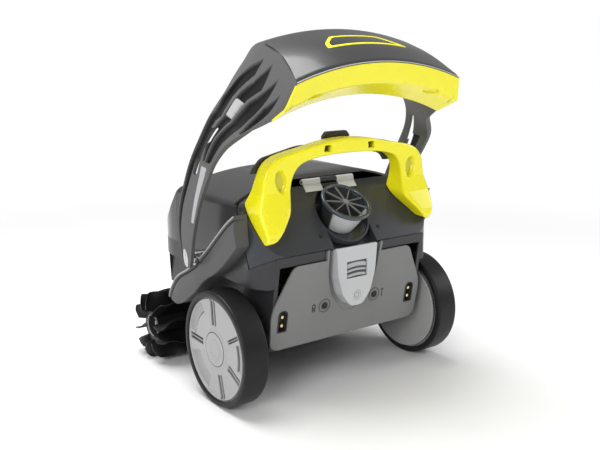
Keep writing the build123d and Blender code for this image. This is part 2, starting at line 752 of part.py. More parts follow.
# ---------------------------------------------------------------- water path
def pump_shroud():
    """The duct round the propeller, with legs to the motor."""
    duct = turned(-78, -49, SHROUD_R, bore=SHROUD_R - WALL) - chute(-SEAT)
    for k in range(3):
        leg = Pos(SHROUD_R - 5, 0, -88) * Box(8, 6, 24)
        duct += on_axis(0) * Rot(0, 0, 120 * k + 30) * leg
    return duct - turned(-101, -60, PROP_R + 1)


def propeller():
    """Three pitched blades on a hub and the motor's shaft."""
    prop = turned(-74, -56, 9)
    for k in range(3):
        blade = Pos(PROP_R / 2 + 3, 0, -65) * Rot(32, 0, 0) * Box(PROP_R - 7, 14, 2.2)
        prop += on_axis(0) * Rot(0, 0, 120 * k) * blade
    prop &= turned(-90, -50, PROP_R)
    return prop + turned(-104, -74, SHAFT_R)


def pump_motor():
    """The sealed motor under the shroud."""
    top = -100
    can = turned(top - PUMP_L, top, PUMP_R + 8)
    can -= turned(top - 10, top + 1, SHAFT_R + FIT)
    return can


def filter_frame():
    """The rigid frame of the filter basket."""
    x, y0, y1, z0, z1 = 88, 74, 158, 66, 290
    frame = block(-x, x, y0, y1, z0, z1) - block(-x + 4, x - 4, y0 + 4, y1 - 4, z0 + 4, z1 + 1)
    for lift in (0, 1, 2):
        z = z0 + 14 + lift * 70
        frame -= block(-x + 12, x - 12, y0 - 1, y1 + 1, z, z + 56)
        frame -= block(-x - 1, x + 1, y0 + 12, y1 - 12, z, z + 56)
    frame -= block(-56, 56, 86, 150, z0 - 1, z0 + 5)
    return frame


def filter_mesh():
    """The fine mesh sleeve inside the frame."""
    x, y0, y1, z0, z1 = 84 - SEAT, 78 + SEAT, 154 - SEAT, 70.2, 280
    return block(-x, x, y0, y1, z0, z1) - block(-x + 1.2, x - 1.2, y0 + 1.2, y1 - 1.2, z0 - 1, z1 + 1)


def inlet_duct():
    """The throat that leads from the floor inlet up to the basket."""
    x0, x1, y0, y1 = INLET
    duct = block(x0 + 0.1, x1 - 0.1, y0 + 0.1, y1 - 0.1, KEEL_Z + 4, 66) 
    duct -= block(x0 + WALL, x1 - WALL, y0 + WALL, y1 - WALL, 0, 100)
    return duct - rod(-60, 60, FLAP_Y, FLAP_Z, 1.5 + SEAT)


def flap_pin():
    """The pin that the inlet flap swings on."""
    return rod(-57.5, 57.5, FLAP_Y, FLAP_Z, 1.5)


def inlet_flap():
    """The flap that keeps debris in; it lies shut across the throat."""
    leaf = block(-54, 54, 88, FLAP_Y, FLAP_Z - 1, FLAP_Z + 1)
    barrel = rod(-54, 54, FLAP_Y, FLAP_Z, 3.0)
    return leaf + barrel - rod(-60, 60, FLAP_Y, FLAP_Z, 1.5 + FIT)


# ---------------------------------------------------------------- electrics
def sealed_box(s):
    """A closed box standing against the hull's side wall."""
    x0, x1 = sorted((s * (HULL_LOW - WALL), s * BOX_IN))
    y0, y1, z0, z1 = BOX
    room = block(x0 + WALL, x1 - WALL, y0 + WALL, y1 - WALL, z0 + WALL, z1 - WALL)
    return block(x0, x1, y0, y1, z0, z1) - room


def battery_case():
    """The sealed battery box."""
    return sealed_box(-1)


def battery_cells():
    """Cells standing in two rows."""
    x = -HULL_LOW + 2 * WALL + CELL_R + 1
    cells = []
    for i in range(4):
        for j in range(2):
            place = Pos(x + (2 * CELL_R + 2) * j, BOX[0] + 14 + 24 * i, (BOX[2] + BOX[3]) / 2)
            cells.append(place * Cylinder(CELL_R, CELL_L))
    return cells


def control_box():
    """The sealed electronics box."""
    return sealed_box(1)


def control_board():
    """The circuit board held by the box's walls, with its tall parts."""
    y0, y1, z0, z1 = BOX
    face = (BOX_IN + HULL_LOW) / 2 - 2
    board = block(face - 2, face, y0 + WALL, y1 - WALL, z0 + WALL + 1, z1 - WALL - 1)
    for i in range(3):
        start = y0 + 14 + 24 * i
        board += block(face, face + 9, start, start + 14, z0 + 24, z0 + 46)
    return board


# ---------------------------------------------------------------- latch, keys
def latch_outline(grow):
    """The latch plate seen from behind: a shield with a round foot."""
    g = grow
    points = [
        (-LATCH_HALF - g, 236), (LATCH_HALF + g, 236), (LATCH_HALF - 4 + g, 190), (28 + g, 160), (12, LATCH_LOW - g),
        (-12, LATCH_LOW - g), (-28 - g, 160), (-LATCH_HALF + 4 - g, 190),
    ]
    return points, [3, 3, 60, 30, 14, 14, 30, 60]


def latch_plate():
    """The light plate round the release button, standing in the panel's pocket."""
    points, radii = latch_outline(0)
    shell = front(points, LATCH_FACE, POCKET_FLOOR, radii)
    inner, inner_radii = latch_outline(-WALL)
    inner[0], inner[1] = (inner[0][0], 232), (inner[1][0], 232)
    shell -= front(inner, LATCH_FACE + WALL, POCKET_FLOOR + 1, inner_radii)
    z0, z1 = BUTTON_Z
    shell -= block(-BUTTON_HALF - 0.5, BUTTON_HALF + 0.5, -90, -60, z0 - 0.5, z1 + 0.5)
    shell -= Pos(0, LATCH_FACE, KEY_Z) * Rot(90, 0, 0) * Cylinder(KEY_R + 0.3, 20)
    return shell & below_seam(GAP)


def release_button():
    """The ribbed release button with a flange behind the plate."""
    z0, z1 = BUTTON_Z
    button = block(-BUTTON_HALF, BUTTON_HALF, LATCH_FACE + 0.5, -68, z0, z1)
    for k in range(3):
        z = z0 + 5 + 8 * k
        button += block(-BUTTON_HALF + 3, BUTTON_HALF - 3, LATCH_FACE - 0.7, LATCH_FACE + 1, z - 1.5, z + 1.5)
    flange_y = LATCH_FACE + WALL + 0.2
    button += block(-BUTTON_HALF - 4, BUTTON_HALF + 4, flange_y, flange_y + 2, z0 - 4, z1 + 4)
    return button


def release_spring():
    """The spring behind the release button."""
    return coil(-67.8, POCKET_FLOOR - 0.2, 0, 199, 6, 1.2, 4)


def power_key():
    """The round power key with a flange behind the plate."""
    key = Pos(0, LATCH_FACE + 3, KEY_Z) * Rot(90, 0, 0) * Cylinder(KEY_R, 6)
    flange = Pos(0, LATCH_FACE + WALL + 0.2 + 1, KEY_Z) * Rot(90, 0, 0) * Cylinder(KEY_R + 3, 2)
    return key + flange


# ---------------------------------------------------------------- arch
def arm_side():
    """An arm and its end cap seen from the side: the blade stands on the pivot, the cap hangs from the top."""
    y, z, t = PIVOT_Y, PIVOT_Z, ARCH_TOP
    points = [
        (y + 13, z - 12), (y + 24, z + 50), (y + 22, z + 82), (y + 4, z + 112), (52, t - 175), (28, t - 129),
        (14, t - 79), (12, t - 49), (-16, t - 22), (-62, t - 24), (-106, t - 38), (-129, t - 70), (-73, t - 124),
        (-44, t - 157), (-12, t - 201), (14, t - 239), (y - 36, z + 78), (y - 18, z + 20), (y - 13, z - 12),
    ]
    radii = [12, 40, 40, 60, 80, 60, 40, 24, 20, 40, 20, 8, 20, 60, 100, 80, 60, 60, 12]
    return points, radii


def arm_front():
    """The right arm and end cap seen from behind."""
    t = ARCH_TOP
    return [
        (BEAM_HALF, t - 12), (ARM_IN - 13, t - 43), (WHEEL_OUT - 8, t - 95), (WHEEL_OUT, t - 145), (WHEEL_OUT, 180),
        (ARM_IN, 180), (ARM_IN, t - 165), (ARM_IN - 13, t - 133), (BEAM_HALF, t - 123),
    ], [0, 60, 60, 60, 0, 0, 40, 30, 0]


def arm_hollow():
    """The space inside an end cap: its side outline and its front outline."""
    t = ARCH_TOP
    beside = [(4, t - 57), (-16, t - 33), (-62, t - 34), (-100, t - 46), (-116, t - 69), (-72, t - 112), (-30, t - 113)]
    ahead = [
        (BEAM_HALF - 1, t - 16), (WHEEL_OUT - 34, t - 53), (WHEEL_OUT - 16, t - 105), (BEAM_HALF - 1, t - 113),
    ]
    return side(beside, BEAM_HALF - 1, WHEEL_OUT - 14, [10, 10, 10, 10, 6, 10, 20]) & front(ahead, -160, 160)


def arm(s):
    """One arm with its hollow end cap, a long slot and a pivot bore."""
    points, radii = arm_side()
    shape = side(points, BEAM_HALF, WHEEL_OUT, radii)
    outline, corner = arm_front()
    shape &= front(outline, -160, 160, corner)
    shape -= arm_hollow()
    low, high = ARCH_TOP - 213, ARCH_TOP - 141
    through = (ARM_IN - ARM_T, WHEEL_OUT + ARM_T)
    shape -= side([(38, low), (50, low), (14, high), (2, high)], *through, [4, 4, 4, 4])
    shape -= rod(*through, PIVOT_Y, PIVOT_Z, PIVOT_R + FIT)
    return shape if s > 0 else mirror(shape, about=Plane.YZ)


def beam_section(i, low):
    """The top beam's section at the plane of symmetry, inset by i; low opens its underside."""
    return [
        (16 - i, ARCH_TOP - 62 - low), (22 - i, ARCH_TOP - 34), (-2 - i, ARCH_TOP - 6 - i), (-22, ARCH_TOP - i),
        (-80, ARCH_TOP - 18 - i), (-126 + i, ARCH_TOP - 44 - i / 2), (-131 + i, ARCH_TOP - 50), (-78, ARCH_TOP - 97 - low),
    ]


def bent(points):
    """A (y, z) section run along the beam's arc from end cap to end cap."""
    centre = ARCH_TOP - ARCH_R
    span = degrees(asin(BEAM_HALF / (ARCH_R - BEAM_H)))
    face = Plane.YZ * make_face(Polyline(*points, close=True))
    axis = Axis((0, 0, centre), (0, 1, 0))
    shape = revolve(face.rotate(axis, -span), axis, 2 * span)
    return shape & block(-BEAM_HALF, BEAM_HALF, -200, 100, 300, 600)


def arch_shell():
    """The dark upper skin of the beam."""
    return bent(beam_section(0, 0)) - bent(beam_section(ARCH_WALL, 30)) - bent(liner_section())


def liner_section():
    """The yellow liner's section: the beam's rear and lower faces."""
    t = ARCH_TOP
    return [(-131, t - 50), (-78, t - 97), (16, t - 62), (12.8, t - 58.6), (-77, t - 92), (-126.5, t - 47.6)]


def arch_liner():
    """The yellow liner that closes the beam's underside."""
    return bent(liner_section())


def pivot_pin(s):
    """The pin that carries an arm, with a collar between hull and arm."""
    pin = rod(s * (HULL_HIGH - 10), s * (WHEEL_OUT - 1), PIVOT_Y, PIVOT_Z, PIVOT_R)
    return pin + rod(s * HULL_HIGH, s * (ARM_IN - 0.3), PIVOT_Y, PIVOT_Z, COLLAR_R)


# ---------------------------------------------------------------- fasteners
def deck_screws(grow=0):
    """Screws let into the deck beside the nozzle."""
    z = 256
    y = deck_y(z)
    lean = degrees(atan2(DECK_TOP[0] - rear_y(SEAM_REAR_Z), DECK_TOP[1] - SEAM_REAR_Z))
    return [Pos(x, y, z) * Rot(90 - lean, 0, 0) * Cylinder(3.2 + grow, 2.4 + grow) for x in (-58, 58)]


def seam_pins():
    """Bright pins at the ends of the rear seam."""
    return [Pos(x, -52, 214) * Rot(90, 0, 0) * Cylinder(3, 14) for x in (-152, 152)]


# ---------------------------------------------------------------- nodes
def single_nodes():
    """The nodes on the plane of symmetry."""
    return {
        "lower_housing": lower_housing(), "rear_panel": rear_panel(), "top_cover": top_cover(),
        "front_hood": front_hood(), "deck": deck(), "carry_handle": carry_handle(), "handle_liner": handle_liner(),
        "handle_trigger": handle_trigger(), "trigger_spring": trigger_spring(), "nozzle_cup": nozzle_cup(),
        "nozzle_grille": nozzle_grille(), "hinge_strips": hinge_strips(), "cover_knuckle": cover_knuckle(),
        "hinge_pin": hinge_pin(), "pump_shroud": pump_shroud(), "propeller": propeller(),
        "pump_motor": pump_motor(), "filter_frame": filter_frame(), "filter_mesh": filter_mesh(),
        "inlet_duct": inlet_duct(), "flap_pin": flap_pin(), "inlet_flap": inlet_flap(),
        "battery_case": battery_case(), "battery_cells": battery_cells(), "control_box": control_box(),
        "control_board": control_board(), "latch_plate": latch_plate(), "release_button": release_button(),
        "release_spring": release_spring(), "power_key": power_key(), "arch_shell": arch_shell(),
        "arch_liner": arch_liner(), "deck_screws": deck_screws(), "seam_pins": seam_pins(),
        "roller_shaft": roller_shaft(), "roller_tubes": [roller_tube(*span) for span in roller_spans()],
        "roller_blades": [roller_blades(*span) for span in roller_spans()],
    }


def grouped_nodes():
    """The fixed pieces that come in identical pairs and share a node."""
    makers = {
        "roller_brackets": roller_bracket, "wheel_axles": wheel_axle, "wheel_bushes": wheel_bush,
        "gear_covers": gear_cover, "drive_motors": drive_motor, "pivot_pins": pivot_pin,
        "contact_bezels": contact_bezel, "status_lenses": status_lens,
    }
    found = {name: [make(-1), make(1)] for name, make in makers.items()}
    found["contact_pins"] = contact_pins(-1) + contact_pins(1)
    return found


def paired_nodes():
    """The left and right nodes."""
    makers = {
        "fender": fender, "tyre": tyre, "wheel_hub": wheel_hub, "ring_gear": ring_gear,
        "wheel_cap": wheel_cap, "drive_pinion": drive_pinion, "arm": arm,
    }
    sides = (("left", -1), ("right", 1))
    return {f"{name}_{word}": make(s) for name, make in makers.items() for word, s in sides}


def write(name, shape):
    """Write one node with the origin at the middle of the machine."""
    solids = []
    for piece in shape if isinstance(shape, list) else [shape]:
        solids.extend(piece.solids())
    moved = [Pos(0, -ORIGIN_Y, 0) * solid for solid in solids]
    export_step(moved[0] if len(moved) == 1 else Compound(moved), f"parts/{name}.step")


if __name__ == "__main__":
    os.makedirs("parts", exist_ok=True)
    for node, made in {**single_nodes(), **grouped_nodes(), **paired_nodes()}.items():
        write(node, made)
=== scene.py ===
"""Looks of a cordless pool cleaner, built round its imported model.

Shapes are worked out in millimetres from the wheel axle's centre line and the pool floor: x to
the right, y the way the machine drives, z up. placed() turns them into metres in the row frame.
"""

import json

import bmesh
import bpy
import numpy as np
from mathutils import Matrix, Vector


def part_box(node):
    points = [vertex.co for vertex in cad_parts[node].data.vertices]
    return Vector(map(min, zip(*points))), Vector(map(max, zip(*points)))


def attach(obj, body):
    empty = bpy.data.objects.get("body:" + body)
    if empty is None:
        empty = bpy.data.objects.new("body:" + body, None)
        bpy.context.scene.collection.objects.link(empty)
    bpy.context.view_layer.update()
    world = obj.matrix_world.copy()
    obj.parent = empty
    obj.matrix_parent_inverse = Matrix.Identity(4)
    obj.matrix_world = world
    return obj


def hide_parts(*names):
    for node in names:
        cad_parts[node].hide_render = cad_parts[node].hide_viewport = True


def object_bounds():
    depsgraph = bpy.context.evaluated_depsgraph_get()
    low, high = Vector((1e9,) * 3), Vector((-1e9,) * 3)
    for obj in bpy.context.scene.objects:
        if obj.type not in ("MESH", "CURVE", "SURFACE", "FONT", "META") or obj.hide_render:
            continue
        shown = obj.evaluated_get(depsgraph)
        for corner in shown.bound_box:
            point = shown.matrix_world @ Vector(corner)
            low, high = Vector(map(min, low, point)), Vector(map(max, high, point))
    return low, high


bl_info = {
    "name": "Pool cleaner looks",
    "version": (1, 0, 0),
    "blender": (4, 5, 0),
    "location": "3D View > Sidebar > Pool cleaner",
    "description": "Dresses the packed pool cleaner with modelled shells and moulded finishes",
    "category": "Object",
}

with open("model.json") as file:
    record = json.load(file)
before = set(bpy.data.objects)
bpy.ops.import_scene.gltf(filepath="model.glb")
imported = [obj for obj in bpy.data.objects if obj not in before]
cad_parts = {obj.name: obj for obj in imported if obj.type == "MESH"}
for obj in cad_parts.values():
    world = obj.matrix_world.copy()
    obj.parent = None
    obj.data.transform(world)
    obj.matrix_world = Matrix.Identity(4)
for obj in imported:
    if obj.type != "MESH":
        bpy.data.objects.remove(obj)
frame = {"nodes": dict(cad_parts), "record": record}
CAD_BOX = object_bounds()

MM = 0.001
AXLE = (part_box("wheel_cap_left")[0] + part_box("wheel_cap_left")[1]) / 2
AXLE_Y = AXLE.y / MM
TWO_PI = 2 * np.pi

# ---------------------------------------------------------------- sizes, millimetres
WHEEL_R = 90.0
WHEEL_OUT = 216.0
ROLLER_Y, ROLLER_Z, ROLLER_END = 232.0, 60.0, 204.0
BLADE_R, SLEEVE_R, SLEEVE_BORE = 60.0, 25.5, 22.7
BLADES = 10
WHEEL_SIDE = WHEEL_OUT - 0.3
PIVOT = (80.0, 214.0)
NOZZLE = np.array((0.0, -50.0, 303.0))
NOZZLE_TILT = np.radians(31.7)
BEAM_CENTRE_Z = 53.0
BEAM_HALF = 155.0
BEAM_DRAW = 17.0
GRIP_TOP = 401.4
PANEL_Y, PANEL_Z, PANEL_LEAN = -60.4, 144.0, 0.155
LATCH_FACE = -77.5
LENS_X = 51.0
KEY_Z = 157.0
BUTTON_HALF, BUTTON_Z0, BUTTON_Z1 = 20.0, 186.0, 212.0
BUTTON_RIBS = ((190.6, 3.1), (198.4, 2.7), (206.8, 4.4))  # height and half width of each


# ---------------------------------------------------------------- shapes
def placed(points):
    """Millimetres from the axle's centre line as metres in the row frame."""
    return (np.asarray(points, float) + (0.0, AXLE_Y, 0.0)) * MM


def smoothstep(low, high, value):
    """0 below low, 1 above high, and 3t^2 - 2t^3 between."""
    t = np.clip((value - low) / (high - low), 0, 1)
    return t * t * (3 - 2 * t)


def rounded(corners, setback, steps=6, closed=True):
    """Corners turned by quadratic curves, from a set-back before each corner p to one after it:
    p + (1-t)^2 a + t^2 b, where a and b point from p back and forward along its two sides."""
    p = np.asarray(corners, float)
    back, ahead = np.roll(p, 1, 0) - p, np.roll(p, -1, 0) - p
    long_back = np.linalg.norm(back, axis=1, keepdims=True)
    long_ahead = np.linalg.norm(ahead, axis=1, keepdims=True)
    reach = np.broadcast_to(np.asarray(setback, float), len(p)).reshape(-1, 1).copy()
    if not closed:
        reach[[0, -1]] = 0
    reach = np.minimum(reach, 0.48 * np.minimum(long_back, long_ahead))
    t = np.linspace(0, 1, steps)[None, :, None]
    a, b = (back / long_back * reach)[:, None], (ahead / long_ahead * reach)[:, None]
    path = (p[:, None] + (1 - t) ** 2 * a + t**2 * b).reshape(-1, p.shape[1])
    step = np.linalg.norm(path - np.roll(path, 1, 0), axis=1)
    step[0] = 1 if not closed else step[0]
    return path[step > 1e-6]


def divided(path, longest, closed=True):
    """A path with points added so that no step is longer than a limit."""
    p = np.vstack([path, path[:1]]) if closed else np.asarray(path)
    step = np.linalg.norm(np.diff(p, axis=0), axis=1)
    count = np.maximum(1, np.ceil(step / longest)).astype(int)
    along = np.concatenate([[0], np.cumsum(step)])
    owner = np.repeat(np.arange(len(step)), count)
    order = np.arange(count.sum()) - np.repeat(np.cumsum(count) - count, count)
    at = along[owner] + step[owner] * order / count[owner]
    if not closed:
        at = np.append(at, along[-1])
    return np.stack([np.interp(at, along, p[:, k]) for k in range(p.shape[1])], 1)


def spline(knots, count):
    """A natural cubic spline through knots at whole parameters, read at evenly spaced ones: the
    second derivatives m solve m[i-1] + 4 m[i] + m[i+1] = 6 (y[i-1] - 2 y[i] + y[i+1])."""
    y = np.asarray(knots, float)
    flat = y.reshape(len(y), -1)
    n = len(flat)
    system = np.diag(np.full(n, 4.0)) + np.diag(np.ones(n - 1), 1) + np.diag(np.ones(n - 1), -1)
    system[0, :2], system[-1, -2:] = (1, 0), (0, 1)
    right = np.zeros_like(flat)
    right[1:-1] = 6 * (flat[:-2] - 2 * flat[1:-1] + flat[2:])
    m = np.linalg.solve(system, right)
    at = np.linspace(0, n - 1, count)
    i = np.minimum(at.astype(int), n - 2)
    t = (at - i)[:, None]
    low, high = flat[i], flat[i + 1]
    curve = low + t * (high - low)
    curve += ((1 - t) ** 3 - (1 - t)) * m[i] / 6 + (t**3 - t) * m[i + 1] / 6
    return curve.reshape((count,) + y.shape[1:])


def inset(path, depth):
    """An open or closed (a, b) path moved to its left by a depth, along its point normals."""
    way = np.gradient(path, axis=0)
    way /= np.linalg.norm(way, axis=1, keepdims=True) + 1e-9
    return path + depth * np.stack([-way[:, 1], way[:, 0]], 1)


def skin(rows, around=True, along=False, caps=True):
    """Quads over a grid of points (rows, columns, 3), joined round each row and, if asked, from
    the last row to the first; the end rows are closed by single faces."""
    n, m = rows.shape[:2]
    i = np.arange(n if along else n - 1)[:, None]
    j = np.arange(m if around else m - 1)[None, :]
    corner = lambda a, b: (a % n) * m + (b % m)
    quads = np.stack([corner(i, j), corner(i, j + 1), corner(i + 1, j + 1), corner(i + 1, j)], -1)
    faces = quads.reshape(-1, 4).tolist()
    if around and not along and caps:
        faces += [list(range(m))[::-1], list(range((n - 1) * m, n * m))]
    return rows.reshape(-1, 3), faces


def slab(front, back):
    """A closed solid between two grids of the same shape, with walls round their edges."""
    n, m = front.shape[:2]
    edge = np.concatenate([np.arange(m), m * np.arange(1, n - 1) + m - 1,
                           (n - 1) * m + np.arange(m)[::-1], m * np.arange(1, n - 1)[::-1]])
    one, faces = skin(front, around=False)
    two, other = skin(back, around=False)
    faces += [[k + n * m for k in f[::-1]] for f in other]
    ring = np.stack([edge, edge + n * m, np.roll(edge, -1) + n * m, np.roll(edge, -1)], 1)
    return np.vstack([one, two]), faces + ring.tolist()


def turned(profile, steps=96):
    """An (along, radius) profile, closed, turned once about the first axis."""
    a = np.linspace(0, TWO_PI, steps, endpoint=False)[:, None]
    p = np.asarray(profile, float)
    return np.stack([np.broadcast_to(p[:, 0], (steps, len(p))), p[:, 1] * np.cos(a), p[:, 1] * np.sin(a)], -1)


def ring_profile(along, radius, thick, steps=10):
    """A small circle as an (along, radius) profile."""
    a = np.linspace(0, TWO_PI, steps, endpoint=False)
    return np.stack([along + thick * np.cos(a), radius + thick * np.sin(a)], 1)


def mesh_piece(name, parts, slot, body, stands_for=(), sharp=32, shade=None, finish=None):
    """One object from parts of points and faces, shaded smooth but for sharp edges, riding on a
    body. shade is a value for each point, from 0 for the finish's own colour to 1 for its shadow."""
    points, faces, start = [], [], 0
    for part, quads in parts:
        points.append(part)
        faces += [[k + start for k in f] for f in quads]
        start += len(part)
    mesh = bpy.data.meshes.new(name)
    mesh.from_pydata(placed(np.vstack(points)).tolist(), [], faces)
    if shade is not None:
        values = mesh.attributes.new("shade", "FLOAT", "POINT").data
        values.foreach_set("value", shade.astype(np.float32).ravel())
    edit = bmesh.new()
    edit.from_mesh(mesh)
    bmesh.ops.recalc_face_normals(edit, faces=edit.faces[:])
    edit.to_mesh(mesh)
    edit.free()
    return dress(bpy.data.objects.new(name, mesh), slot, body, stands_for, sharp, finish)


def dress(piece, slot, body, stands_for=(), sharp=32, finish=None):
    """Links a piece, gives it its finish, smooth shading and its body."""
    bpy.context.scene.collection.objects.link(piece)
    piece.data.materials.clear()
    piece.data.materials.append(FINISHES[finish or slot])
    piece.data.polygons.foreach_set("use_smooth", np.ones(len(piece.data.polygons), bool))
    piece.data.set_sharp_from_angle(angle=np.radians(sharp))
    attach(piece, body)
    if stands_for:
        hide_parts(*stands_for)
    return piece


def eased(name, node, body, width=0.8, slot=None, finish=None, sharp=40):
    """A CAD node's mesh, merged, with its edges eased by a bevel of a width in millimetres."""
    mesh = frame["nodes"][node].data.copy()
    mesh.name = name
    edit = bmesh.new()
    edit.from_mesh(mesh)
    bmesh.ops.remove_doubles(edit, verts=edit.verts[:], dist=0.002 * MM)
    bmesh.ops.dissolve_limit(edit, angle_limit=np.radians(0.6), verts=edit.verts[:], edges=edit.edges[:])
    edit.to_mesh(mesh)
    edit.free()
    if "custom_normal" in mesh.attributes:
        mesh.attributes.remove(mesh.attributes["custom_normal"])
    piece = dress(bpy.data.objects.new(name, mesh), slot or SLOT_OF[node], body, (node,), sharp, finish)
    bevel = piece.modifiers.new("Eased edges", "BEVEL")
    bevel.width = width * MM
    bevel.segments = 2
    bevel.limit_method = "ANGLE"
    bevel.angle_limit = np.radians(28)
    bevel.harden_normals = True
    return piece


# ---------------------------------------------------------------- finishes
SLOT_OF = {s["node"]: s["material_slot"] for s in frame["record"]["subparts"]}
FINISHES = {}


def moulded(name, colour, rough, shadow=None, grain=700.0, bump=0.04, mottle=0.05, metallic=0.0, coat=0.0,
            specular=0.5, spread=0.05):
    """A moulded finish: a broad noise lightens and darkens the colour, a middle one moves the
    roughness, a fine one raises a grain, and the shade attribute blends in the shadow colour."""
    material = bpy.data.materials.new(name)
    material.use_nodes = True
    tree = material.node_tree
    node, link = tree.nodes, tree.links.new
    shader = node["Principled BSDF"]
    shader.inputs["Metallic"].default_value = metallic
    shader.inputs["Coat Weight"].default_value = coat
    shader.inputs["Coat Roughness"].default_value = 0.12
    shader.inputs["Specular IOR Level"].default_value = specular
    place = node.new("ShaderNodeTexCoord")

    def noise(scale, detail):
        made = node.new("ShaderNodeTexNoise")
        made.inputs["Scale"].default_value = scale
        made.inputs["Detail"].default_value = detail
        link(place.outputs["Object"], made.inputs["Vector"])
        return made.outputs["Fac"]

    def mix(low, high):
        made = node.new("ShaderNodeMix")
        made.data_type = "RGBA"
        made.inputs["A"].default_value = (*low, 1)
        made.inputs["B"].default_value = (*high, 1)
        return made

    base = mix([c * (1 - mottle) for c in colour], [min(1, c * (1 + mottle)) for c in colour])
    link(noise(14, 4), base.inputs["Factor"])
    dark = mix(colour, shadow or [c * 0.25 for c in colour])
    shade = node.new("ShaderNodeAttribute")
    shade.attribute_name = "shade"
    link(shade.outputs["Fac"], dark.inputs["Factor"])
    link(base.outputs["Result"], dark.inputs["A"])
    link(dark.outputs["Result"], shader.inputs["Base Color"])
    spread_map = node.new("ShaderNodeMapRange")
    spread_map.inputs["To Min"].default_value = max(0.02, rough - spread)
    spread_map.inputs["To Max"].default_value = min(1, rough + spread)
    link(noise(90, 3), spread_map.inputs["Value"])
    link(spread_map.outputs["Result"], shader.inputs["Roughness"])
    relief = node.new("ShaderNodeBump")
    relief.inputs["Strength"].default_value = bump
    relief.inputs["Distance"].default_value = 0.0003
    link(noise(grain, 2), relief.inputs["Height"])
    link(relief.outputs["Normal"], shader.inputs["Normal"])
    FINISHES[name] = material
    return material


def make_finishes(look):
    """Every finish, by its slot or its own name."""
    dark, mid, light = tuple(look.dark), tuple(look.mid), tuple(look.light)
    yellow = tuple(look.yellow)
    moulded("dark_plastic", dark, 0.36, grain=900, bump=0.05, coat=0.1, specular=0.35)
    moulded("deck_dark", (0.034, 0.036, 0.042), 0.30, grain=900, bump=0.04, coat=0.2, specular=0.35)
    moulded("black_gloss", (0.012, 0.012, 0.014), 0.16, bump=0.02, coat=0.6, mottle=0.1)
    moulded("beam_satin", (0.03, 0.03, 0.032), 0.30, bump=0.03, coat=0.3, specular=0.35)
    moulded("grey_plastic", mid, 0.46, grain=1100, bump=0.07)
    moulded("cap_grey", (0.11, 0.11, 0.112), 0.5, shadow=(0.012, 0.012, 0.013), grain=1100, bump=0.08,
            specular=0.3)
    moulded("light_grey", light, 0.4, shadow=(0.08, 0.08, 0.085), grain=1000, bump=0.05)
    moulded("hub_grey", (0.36, 0.36, 0.36), 0.42, shadow=(0.03, 0.03, 0.032), grain=1000, bump=0.05)
    moulded("silver", (0.52, 0.53, 0.54), 0.30, shadow=(0.03, 0.032, 0.036), bump=0.03, coat=0.3)
    moulded("gunmetal", (0.06, 0.072, 0.092), 0.26, bump=0.02, coat=0.4, metallic=0.3)
    moulded("yellow_plastic", yellow, 0.26, shadow=(0.10, 0.09, 0.0), bump=0.03, coat=0.35, mottle=0.03)
    moulded("rubber", (0.010, 0.010, 0.011), 0.42, grain=1500, bump=0.1, specular=0.3)
    moulded("tyre", (0.011, 0.011, 0.012), 0.42, grain=1500, bump=0.12, specular=0.25)
    moulded("steel", (0.62, 0.62, 0.64), 0.22, metallic=1.0, bump=0.03)
    moulded("inner_plastic", (0.03, 0.03, 0.033), 0.55, bump=0.06)
    moulded("white_nylon", (0.7, 0.7, 0.66), 0.5, bump=0.05)
    moulded("mesh_fabric", (0.16, 0.2, 0.22), 0.8, grain=2500, bump=0.6)
    moulded("board_green", (0.02, 0.13, 0.05), 0.4, grain=400, bump=0.1)
    moulded("battery_wrap", (0.05, 0.12, 0.34), 0.35, bump=0.03)
    moulded("brass", (0.78, 0.6, 0.28), 0.25, metallic=1.0, bump=0.03)
    moulded("lens", (0.22, 0.22, 0.23), 0.18, bump=0.01, coat=0.6)
    moulded("mark_dark", (0.02, 0.02, 0.021), 0.5, bump=0.03, specular=0.3)
    moulded("fender_grey", (0.085, 0.085, 0.087), 0.42, shadow=(0.02, 0.02, 0.021), grain=1100, bump=0.06,
            specular=0.3)
    moulded("mark_grey", (0.2, 0.2, 0.2), 0.4, bump=0.03)
    moulded("floor_pale", (0.9, 0.9, 0.9), 0.6, bump=0.02, mottle=0.01, grain=200, specular=0.1)
    whiten(FINISHES["floor_pale"])


LIT_FLOOR = (0.5, 1.6)


def whiten(material):
    """Fades a material into an even white between the two distances of LIT_FLOOR, in metres."""
    node, link = material.node_tree.nodes, material.node_tree.links.new
    place, far = node.new("ShaderNodeTexCoord"), node.new("ShaderNodeVectorMath")
    far.operation = "LENGTH"
    fade = node.new("ShaderNodeMapRange")
    fade.inputs["From Min"].default_value, fade.inputs["From Max"].default_value = LIT_FLOOR
    white, both = node.new("ShaderNodeEmission"), node.new("ShaderNodeMixShader")
    link(place.outputs["Object"], far.inputs[0])
    link(far.outputs["Value"], fade.inputs["Value"])
    link(fade.outputs["Result"], both.inputs["Fac"])
    link(node["Principled BSDF"].outputs["BSDF"], both.inputs[1])
    link(white.outputs["Emission"], both.inputs[2])
    link(both.outputs["Shader"], node["Material Output"].inputs["Surface"])


# ---------------------------------------------------------------- arch
def along_beam(section, half, stations):
    """A (y, z) section swung about the beam's centre line so that every point of it ends on the
    planes x = -half and half: with r its height over the centre, x = r sin(t a) and
    z = centre + r cos(t a), where a = asin(half / r) and t runs from -1 to 1."""
    section = np.asarray(section, float)
    radius = section[:, 1] - BEAM_CENTRE_Z
    a = np.linspace(-1, 1, stations)[:, None] * np.arcsin(half / radius)
    y = np.broadcast_to(section[:, 0], a.shape)
    return np.stack([radius * np.sin(a), y, BEAM_CENTRE_Z + radius * np.cos(a)], -1)


